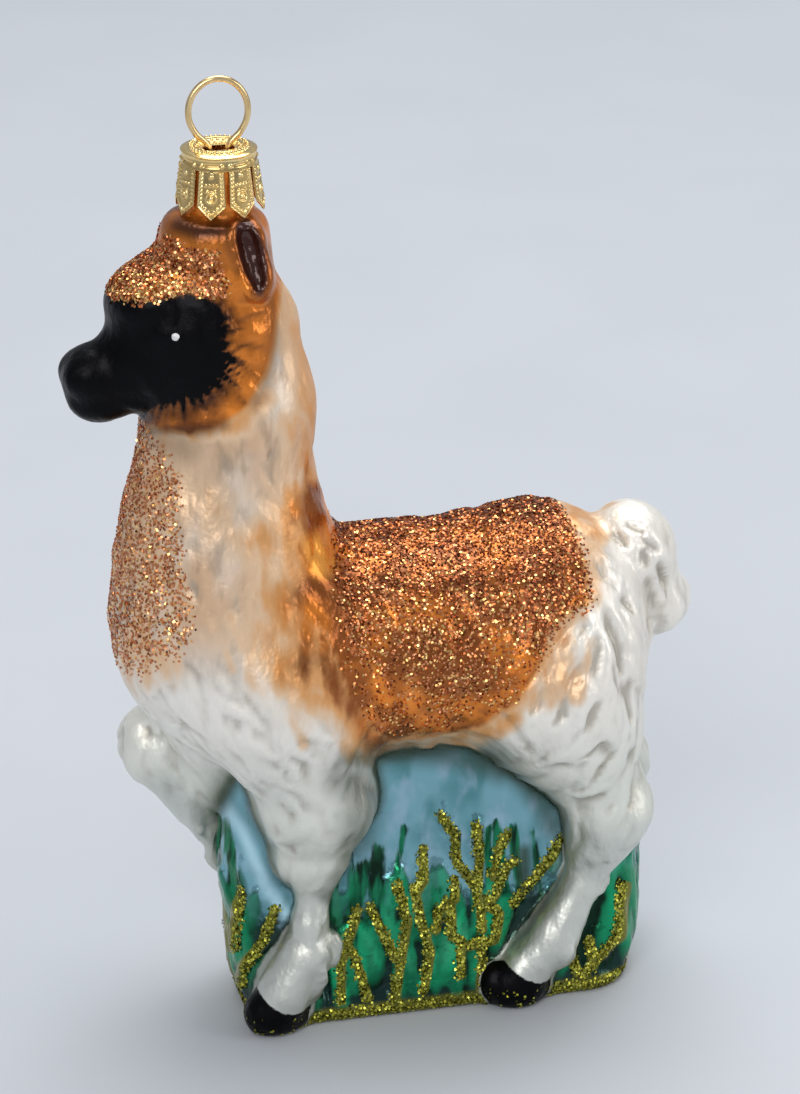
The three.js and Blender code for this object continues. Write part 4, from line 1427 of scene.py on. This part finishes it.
def unit_ball():
    """A ball of radius 1 about the origin, as points and triangles."""
    around = np.array(turns(DOT_SEGMENTS))
    slope = math.pi * np.arange(1, DOT_RINGS)[:, None] / DOT_RINGS
    level = -np.cos(slope) + 0 * around
    rings = np.stack([np.sin(slope) * np.cos(around), np.sin(slope) * np.sin(around), level], -1)
    points = np.vstack([rings.reshape(-1, 3), [(0, 0, -1), (0, 0, 1)]])
    quads = strip_faces(DOT_RINGS - 1, DOT_SEGMENTS, 0, True)
    top, foot = len(points) - 1, len(points) - 2
    low = np.arange(DOT_SEGMENTS)
    after = (low + 1) % DOT_SEGMENTS
    high = foot - DOT_SEGMENTS
    fans = [
        np.column_stack([after, low, np.full(DOT_SEGMENTS, foot)]),
        np.column_stack([high + low, high + after, np.full(DOT_SEGMENTS, top)]),
    ]
    return points, np.vstack([quads[:, [0, 1, 2]], quads[:, [0, 2, 3]], *fans])


def add_eyes(points, quads):
    s = tinted("eye_paint", (3.5, 2), (0.3, 0.7), EYE_GREY, EYE_WHITE, Roughness=0.3)
    s.bump(s.noise(5, 1), 0.03)
    ball, faces = unit_ball()
    x, y, z = ball.T
    wobble = 1 + 0.07 * np.sin(3 * np.arctan2(y, x) + 0.8)  # a dab's uneven outline
    flat = np.column_stack([x * EYE_RADIUS * wobble, y * EYE_RADIUS, z * EYE_HEIGHT]) * MM
    for name, (place, normal) in zip(("eye_dot_left", "eye_dot_right"), eye_places(points, quads)):
        turn = np.array(Vector(turn_to_row(normal)).to_track_quat("Z", "Y").to_matrix())
        dot = mesh_object(name, to_row(place - normal * EYE_SINK) + flat @ turn.T, faces)
        dot.data.materials.append(s.material)
        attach(dot, "root")


# ---- the stamped cap ----------------------------------------------------------------------

CAP_SHOULDER = 1.0
CAP_SHEET = 0.25
PETALS = 8
PETAL_PITCH = 2 * math.pi / PETALS
SLIT_WIDTH = 0.5
SLIT_TOP = 2.2
POINT_RISE = 1.6
SLOT_WIDTH = 2.3
SLOT_LENGTH = 3.8
PETAL_COLUMNS = 40
PETAL_ROWS = 76
CROWN_ROWS = 46
SHOULDER_ROWS = 24
EMBOSS = 0.28
TOP_DISH = 0.25
WELD_DISTANCE = 0.00001
BEAD_PITCH = 0.48
GOLD = (1.0, 0.76, 0.35)
GOLD_WARM = (0.97, 0.68, 0.27)
# Dark in the stamped recesses: patina and painted shade.
GOLD_RECESS_SHADE = (0.38, 0.22, 0.06)
GOLD_WORN = (0.66, 0.44, 0.16)
POINT_SLOPE = 2.1 / POINT_RISE  # of the petal's pointed edges
BOSS_DOWN = 5.35
BAR_DOWN = 1.55
# The border's beads: in from the edge, radius and height.
SIDE_BEADS = (0.42, 0.2, 0.55)
TIP_BEADS = (0.46, 0.22, 0.7)
# The beads on a petal: across it, down from the cap's top, radius and height.
PETAL_BEADS = [
    (0, BOSS_DOWN, 0.36, 1.1), (0, 2.75, 0.34, 0.9),
    (-0.75, 3.9, 0.17, 0.8), (-0.25, 3.9, 0.17, 0.8), (0.25, 3.9, 0.17, 0.8), (0.75, 3.9, 0.17, 0.8),
    (-1.35, BAR_DOWN, 0.24, 0.8), (-0.55, 4.6, 0.2, 0.5),
    (1.35, BAR_DOWN, 0.24, 0.8), (0.55, 4.6, 0.2, 0.5),
]
# The crown's rings of beads: radius, how many, and each bead's radius.
OUTER_BEADS = (3.5, 38, 0.25)
INNER_BEADS = (2.6, 22, 0.22)
CROWN_RIDGE = 3.05
CROWN_UNSHADED = 0.25  # keeps the painted shade of the recesses off the crown
HEM_TRIM = 0.02


def bead(distance, radius):
    return np.clip(1 - (distance / radius) ** 2, 0, 1) ** 0.6


def ring_ridge(distance, radius, width):
    return np.clip(1 - ((distance - radius) / width) ** 2, 0, 1) ** 0.7


def bead_row(along, off, pitch, radius):
    """A row of beads: along it in millimetres, and off it sideways."""
    return bead(np.hypot(np.mod(along, pitch) - pitch / 2, off), radius)


def bead_circle(angle, radius, at, count, size):
    return bead_row(angle * at, radius - at, 2 * math.pi * at / count, size)


def petal_half_width(down):
    """Half of a petal's width in millimetres, from the slits' tops to its pointed tip."""
    pitch = math.pi * np.interp(down, [SLIT_TOP, CAP_HEIGHT], [CAP_TOP_RADIUS, CAP_HEM_RADIUS]) / PETALS
    return (pitch - SLIT_WIDTH / 2) * np.clip((CAP_HEIGHT - down) / POINT_RISE, 0, 1)


def petal_emboss(across, down):
    """The stamped pattern of one petal: a beaded border, a boss in a ring, and small beads."""
    half = petal_half_width(np.minimum(down, CAP_HEIGHT - POINT_RISE))
    tip_edge = (CAP_HEIGHT - down) * half / POINT_RISE - np.abs(across)
    tip_edge = tip_edge / math.hypot(1, POINT_SLOPE)
    side_edge = np.where(down > SLIT_TOP, half - np.abs(across), 1.0)
    edge, on_side = np.minimum(side_edge, tip_edge), side_edge < tip_edge
    pattern = 0.45 * np.clip(1 - np.abs(edge - 0.1) / 0.14, 0, 1)  # the edge's rolled rim
    pattern += 0.7 * ring_ridge(np.hypot(across, down - BOSS_DOWN), 0.62, 0.14)
    for along, here, border in ((down, on_side, SIDE_BEADS), (across, ~on_side, TIP_BEADS)):
        inset, radius, height = border
        pattern += height * bead_row(along, edge - inset, BEAD_PITCH, radius) * here
    for bead_across, bead_down, radius, height in PETAL_BEADS:
        pattern += height * bead(np.hypot(across - bead_across, down - bead_down), radius)
    sunk_bar = 0.6 * np.clip(1 - np.abs(down - BAR_DOWN) / 0.22, 0, 1) * (np.abs(across) < 1.0)
    return pattern - sunk_bar


def crown_emboss(radius, angle):
    """Stamped rings of beads on the cap's top."""
    pattern = bead_circle(angle, radius, *OUTER_BEADS) + 0.7 * ring_ridge(radius, CROWN_RIDGE, 0.14)
    return pattern + 0.8 * bead_circle(angle, radius, *INNER_BEADS)


def skirt_radius(down):
    shoulder = np.sqrt(np.clip(1 - (1 - down / CAP_SHOULDER) ** 2, 0, 1))
    top = CAP_TOP_RADIUS - CAP_SHOULDER + CAP_SHOULDER * shoulder
    side = np.interp(down, [CAP_SHOULDER, CAP_HEIGHT], [CAP_TOP_RADIUS, CAP_HEM_RADIUS])
    return np.where(down < CAP_SHOULDER, top, side)


def sheet_point(radius, angle, down, out, level, pattern):
    """A point of the cap sheet, moved out or up by the stamping, and how raised it is there."""
    reach = radius + out
    place = [reach * np.cos(angle), PIKE_FORWARD + reach * np.sin(angle), CAP_TOP - down + level]
    return np.stack([*place, pattern + 0 * place[0]], -1)


def slot_radius(angle):
    """Edge of the top's rounded slot, which runs forward and back."""
    across, along = np.abs(np.cos(angle)) / (SLOT_WIDTH / 2), np.abs(np.sin(angle)) / (SLOT_LENGTH / 2)
    return (across**4 + along**4) ** -0.25


def crown_sheet():
    """The cap's top and its shoulder down to the slits, as a closed band of rows."""
    columns = PETALS * (PETAL_COLUMNS + 2)
    angle = np.zeros(columns)
    for petal in range(PETALS):
        middle = (petal + 0.5) * PETAL_PITCH
        half = petal_half_width(np.array(SLIT_TOP)) / CAP_TOP_RADIUS
        first = petal * (PETAL_COLUMNS + 2)
        angle[first:first + PETAL_COLUMNS + 1] = middle + half * np.linspace(-1, 1, PETAL_COLUMNS + 1)
        angle[first + PETAL_COLUMNS + 1] = (petal + 1) * PETAL_PITCH
    rows, edge = [], slot_radius(angle)
    for share in np.linspace(0, 1, CROWN_ROWS):
        radius = edge + share * (CAP_TOP_RADIUS - CAP_SHOULDER - edge)
        pattern = crown_emboss(radius, angle)
        level = EMBOSS * (pattern - 1) - TOP_DISH * (1 - ease(radius, 1.9, 3.4))
        rows.append(sheet_point(radius, angle, 0, 0, level, pattern + CROWN_UNSHADED))
    across = (np.mod(angle, PETAL_PITCH) - PETAL_PITCH / 2) * CAP_TOP_RADIUS
    for down in np.linspace(0, SLIT_TOP, SHOULDER_ROWS)[1:]:
        down = np.full(columns, down)
        pattern = petal_emboss(across, down)
        out, level = EMBOSS * (pattern - 1) * ease(down, 0.5, 0.9), -EMBOSS * (1 - ease(down, 0, 0.7))
        pattern = pattern + ease(1.5 - down, 0, 0.5)
        rows.append(sheet_point(skirt_radius(down), angle, down, out, level, pattern))
    return np.array(rows)


def petal_sheet(petal):
    """One pointed petal of the skirt. Petals stand off the glass by slightly different amounts."""
    middle = (petal + 0.5) * PETAL_PITCH
    share = np.linspace(-1, 1, PETAL_COLUMNS + 1)[None]
    down = np.linspace(SLIT_TOP, CAP_HEIGHT - HEM_TRIM, PETAL_ROWS + 1)[:, None] + 0 * share
    across = share * petal_half_width(down)
    radius = skirt_radius(down)
    splay = (0.05 * math.sin(petal * 2.3) - 0.07) * ((down - SLIT_TOP) / (CAP_HEIGHT - SLIT_TOP)) ** 2
    pattern, angle = petal_emboss(across, down), middle + across / radius
    return sheet_point(radius + splay, angle, down, EMBOSS * (pattern - 1), 0, pattern)


def strip_faces(rows, columns, first, closed):
    """Quads over a grid of points, whose rows may close round."""
    across = np.arange(columns if closed else columns - 1)
    row, column = np.meshgrid(np.arange(rows - 1) * columns, across, indexing="ij")
    follow = (column + 1) % columns
    ring = [row + column, row + follow, row + columns + follow, row + columns + column]
    return np.stack(ring, -1).reshape(-1, 4) + first


def make_cap():
    crown = crown_sheet()
    points = [crown.reshape(-1, 4)]
    faces = [strip_faces(*crown.shape[:2], 0, True)]
    for petal in range(PETALS):
        sheet = petal_sheet(petal)
        first = sum(len(part) for part in points)
        points.append(sheet.reshape(-1, 4))
        faces.append(strip_faces(*sheet.shape[:2], first, False))
    points = np.concatenate(points)
    cap = mesh_object("stamped_cap", to_row(points[:, :3]), np.concatenate(faces))
    add_numbers(cap, "raised", points[:, 3])
    cap.modifiers.new("weld", "WELD").merge_threshold = WELD_DISTANCE
    thicken = cap.modifiers.new("thicken", "SOLIDIFY")
    thicken.thickness = CAP_SHEET * MM
    thicken.offset = -1
    s = Shader("cap_gold")
    patina = s.noise(0.5, 3, roughness=0.6)
    fine = s.noise(3.0, 2)
    gold = s.mix(s.step(patina, 0.35, 0.65), GOLD, GOLD_WARM)
    # patina and painted shade in the stamped recesses
    gold = s.mix(s.step(s.attribute("raised"), 0.4, 0.0, 0, 0.42), gold, GOLD_RECESS_SHADE)
    s.wire("Base Color", s.mix(s.step(fine, 0.6, 0.75, 0, 0.5), gold, GOLD_WORN))
    s.wire("Roughness", s.step(patina, 0.3, 0.7, 0.13, 0.26))
    s.set(Metallic=1.0)
    s.bump(fine, 0.02, 0.5)
    cap.data.materials.append(s.material)
    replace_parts(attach(cap, "root"), "cap")


# ---- the wire hanger ----------------------------------------------------------------------

WIRE_RADIUS = 0.4
LOOP_HALF_WIDTH = 3.65
LOOP_HALF_HEIGHT = 4.05
LOOP_CENTRE = 122.0
LEG_GAP_AT_SLOT = 1.2
LEG_SPREAD = 2.6
LEG_FOOT = 105.5
KNEE_IN = 0.6
KNEE_UP = 4
SLOT_DROP = 0.6  # how far below the cap's top the legs pass through the slot
WIRE_SIDES = 20
LOOP_TURNS = range(-40, 221, 26)  # degrees, from the foremost point over the top
PATH_STEPS = 14
WIRE_DARK = (0.72, 0.50, 0.24)
WIRE_LIGHT = (0.88, 0.66, 0.34)


def between(a, b, t, start, end):
    return a + (b - a) * (t - start) / (end - start)


def smooth_path(anchors, steps):
    """A centripetal curve through the anchors, the same one as the solid wire's."""
    anchors = np.array(anchors, float)
    padded = np.vstack([2 * anchors[0] - anchors[1], anchors, 2 * anchors[-1] - anchors[-2]])
    path = []
    for p in zip(padded, padded[1:], padded[2:], padded[3:]):
        k = np.cumsum([0] + [np.linalg.norm(p[i + 1] - p[i]) ** 0.5 for i in range(3)])
        for t in np.linspace(k[1], k[2], steps, endpoint=False):
            first = [between(p[i], p[i + 1], t, k[i], k[i + 1]) for i in range(3)]
            second = [between(first[i], first[i + 1], t, k[i], k[i + 2]) for i in range(2)]
            path.append(between(second[0], second[1], t, k[1], k[2]))
    return np.vstack([path, anchors[-1]])


def make_hanger():
    """One length of round wire in the plane that runs forward and up."""
    knee = (LEG_SPREAD - KNEE_IN, LEG_FOOT + KNEE_UP)
    leg = [(LEG_SPREAD, LEG_FOOT), knee, (LEG_GAP_AT_SLOT, CAP_TOP - SLOT_DROP)]
    loop = []
    for angle in map(math.radians, LOOP_TURNS):
        up = LOOP_CENTRE + LOOP_HALF_HEIGHT * math.sin(angle)
        loop.append((LOOP_HALF_WIDTH * math.cos(angle), up))
    flat = smooth_path(leg + loop + [(-side, up) for side, up in reversed(leg)], PATH_STEPS)
    ahead = np.gradient(flat, axis=0)
    ahead /= np.linalg.norm(ahead, axis=1)[:, None]
    out = np.column_stack([ahead[:, 1], -ahead[:, 0]])
    rings = []
    for angle in turns(WIRE_SIDES):
        ring = flat + WIRE_RADIUS * math.cos(angle) * out
        sideways = np.full(len(flat), WIRE_RADIUS * math.sin(angle))
        rings.append(np.column_stack([sideways, PIKE_FORWARD + ring[:, 0], ring[:, 1]]))
    tube = np.stack(rings, 1)
    faces = strip_faces(tube.shape[0], WIRE_SIDES, 0, True)
    wire = mesh_object("wire_hanger", to_row(tube.reshape(-1, 3)), faces)
    shape = bmesh.new()
    shape.from_mesh(wire.data)
    bmesh.ops.holes_fill(shape, edges=[edge for edge in shape.edges if edge.is_boundary])
    bmesh.ops.recalc_face_normals(shape, faces=shape.faces)
    shape.to_mesh(wire.data)
    shape.free()
    s = Shader("hanger_wire")
    drawn = s.noise(0.7, 3, (1, 1, 0.5))
    s.wire("Base Color", s.mix(s.step(drawn, 0.3, 0.7), WIRE_DARK, WIRE_LIGHT))
    s.wire("Roughness", s.step(drawn, 0.3, 0.7, 0.24, 0.34))
    s.set(Metallic=1.0)
    s.bump(s.noise(4, 2), 0.01, 0.5)
    wire.data.materials.append(s.material)
    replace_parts(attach(wire, "root"), "hanger_ring")


# ---- floor, light and camera --------------------------------------------------------------

FLOOR_HALF = 3.0
FLOOR_DARK = (0.50, 0.525, 0.565)
FLOOR_LIGHT = (0.515, 0.54, 0.58)
SKY = (0.82, 0.87, 0.95, 1)
SKY_STRENGTH = 0.42
MIDDLE = (0, 0, 0.06)
# Each square light's name, place, side, power and colour.
LIGHTS = [
    ("ceiling", (-0.30, 0.14, 0.95), 0.8, 8.4, (1.0, 0.995, 0.98)),
    ("window", (0.62, -0.34, 0.52), 0.45, 2.9, (1.0, 0.985, 0.96)),
    ("fill", (0.45, 0.80, 0.40), 0.5, 2.2, (1.0, 0.97, 0.93)),
]


def make_floor():
    corners = [(x * FLOOR_HALF, y * FLOOR_HALF, 0) for x, y in ((-1, -1), (1, -1), (1, 1), (-1, 1))]
    floor = mesh_object("floor", corners, [[0, 1, 2, 3]])
    s = tinted("floor_paper", (0.02, 2), (0.3, 0.7), FLOOR_DARK, FLOOR_LIGHT, Roughness=0.75)
    s.bump(s.noise(1.2, 3), 0.02, 0.4)
    floor.data.materials.append(s.material)


def point_at(thing, place, ahead):
    """Puts a light or the camera at a place, facing a direction."""
    thing.location = place
    thing.rotation_euler = Vector(ahead).to_track_quat("-Z", "Y").to_euler()
    bpy.context.scene.collection.objects.link(thing)


def make_studio():
    world = bpy.data.worlds.new("studio")
    bpy.context.scene.world = world
    world.use_nodes = True
    background = world.node_tree.nodes["Background"]
    background.inputs["Color"].default_value = SKY
    background.inputs["Strength"].default_value = SKY_STRENGTH
    for name, place, side, power, colour in LIGHTS:
        data = bpy.data.lights.new(name, "AREA")
        data.shape = "RECTANGLE"
        data.size = data.size_y = side
        data.energy, data.color = power, colour
        point_at(bpy.data.objects.new(name, data), place, Vector(MIDDLE) - Vector(place))


def make_camera():
    data = bpy.data.cameras.new("camera")
    data.sensor_width = SENSOR_MM
    data.lens = FOCAL_PX / max(PICTURE) * SENSOR_MM
    data.clip_start, data.clip_end = 0.01, 20
    camera = bpy.data.objects.new("camera", data)
    point_at(camera, np.array(CAMERA_AT) * MM + SHIFT, camera_axes()[0])
    bpy.context.scene.camera = camera


make_camera()
glass_skin, skin_points, skin_quads = make_skin()
glass_skin.data.materials.append(paint_material())
add_glitter(skin_points, skin_quads)
add_eyes(skin_points, skin_quads)
make_cap()
make_hanger()
make_floor()
make_studio()
bpy.context.scene.view_settings.view_transform = "Standard"
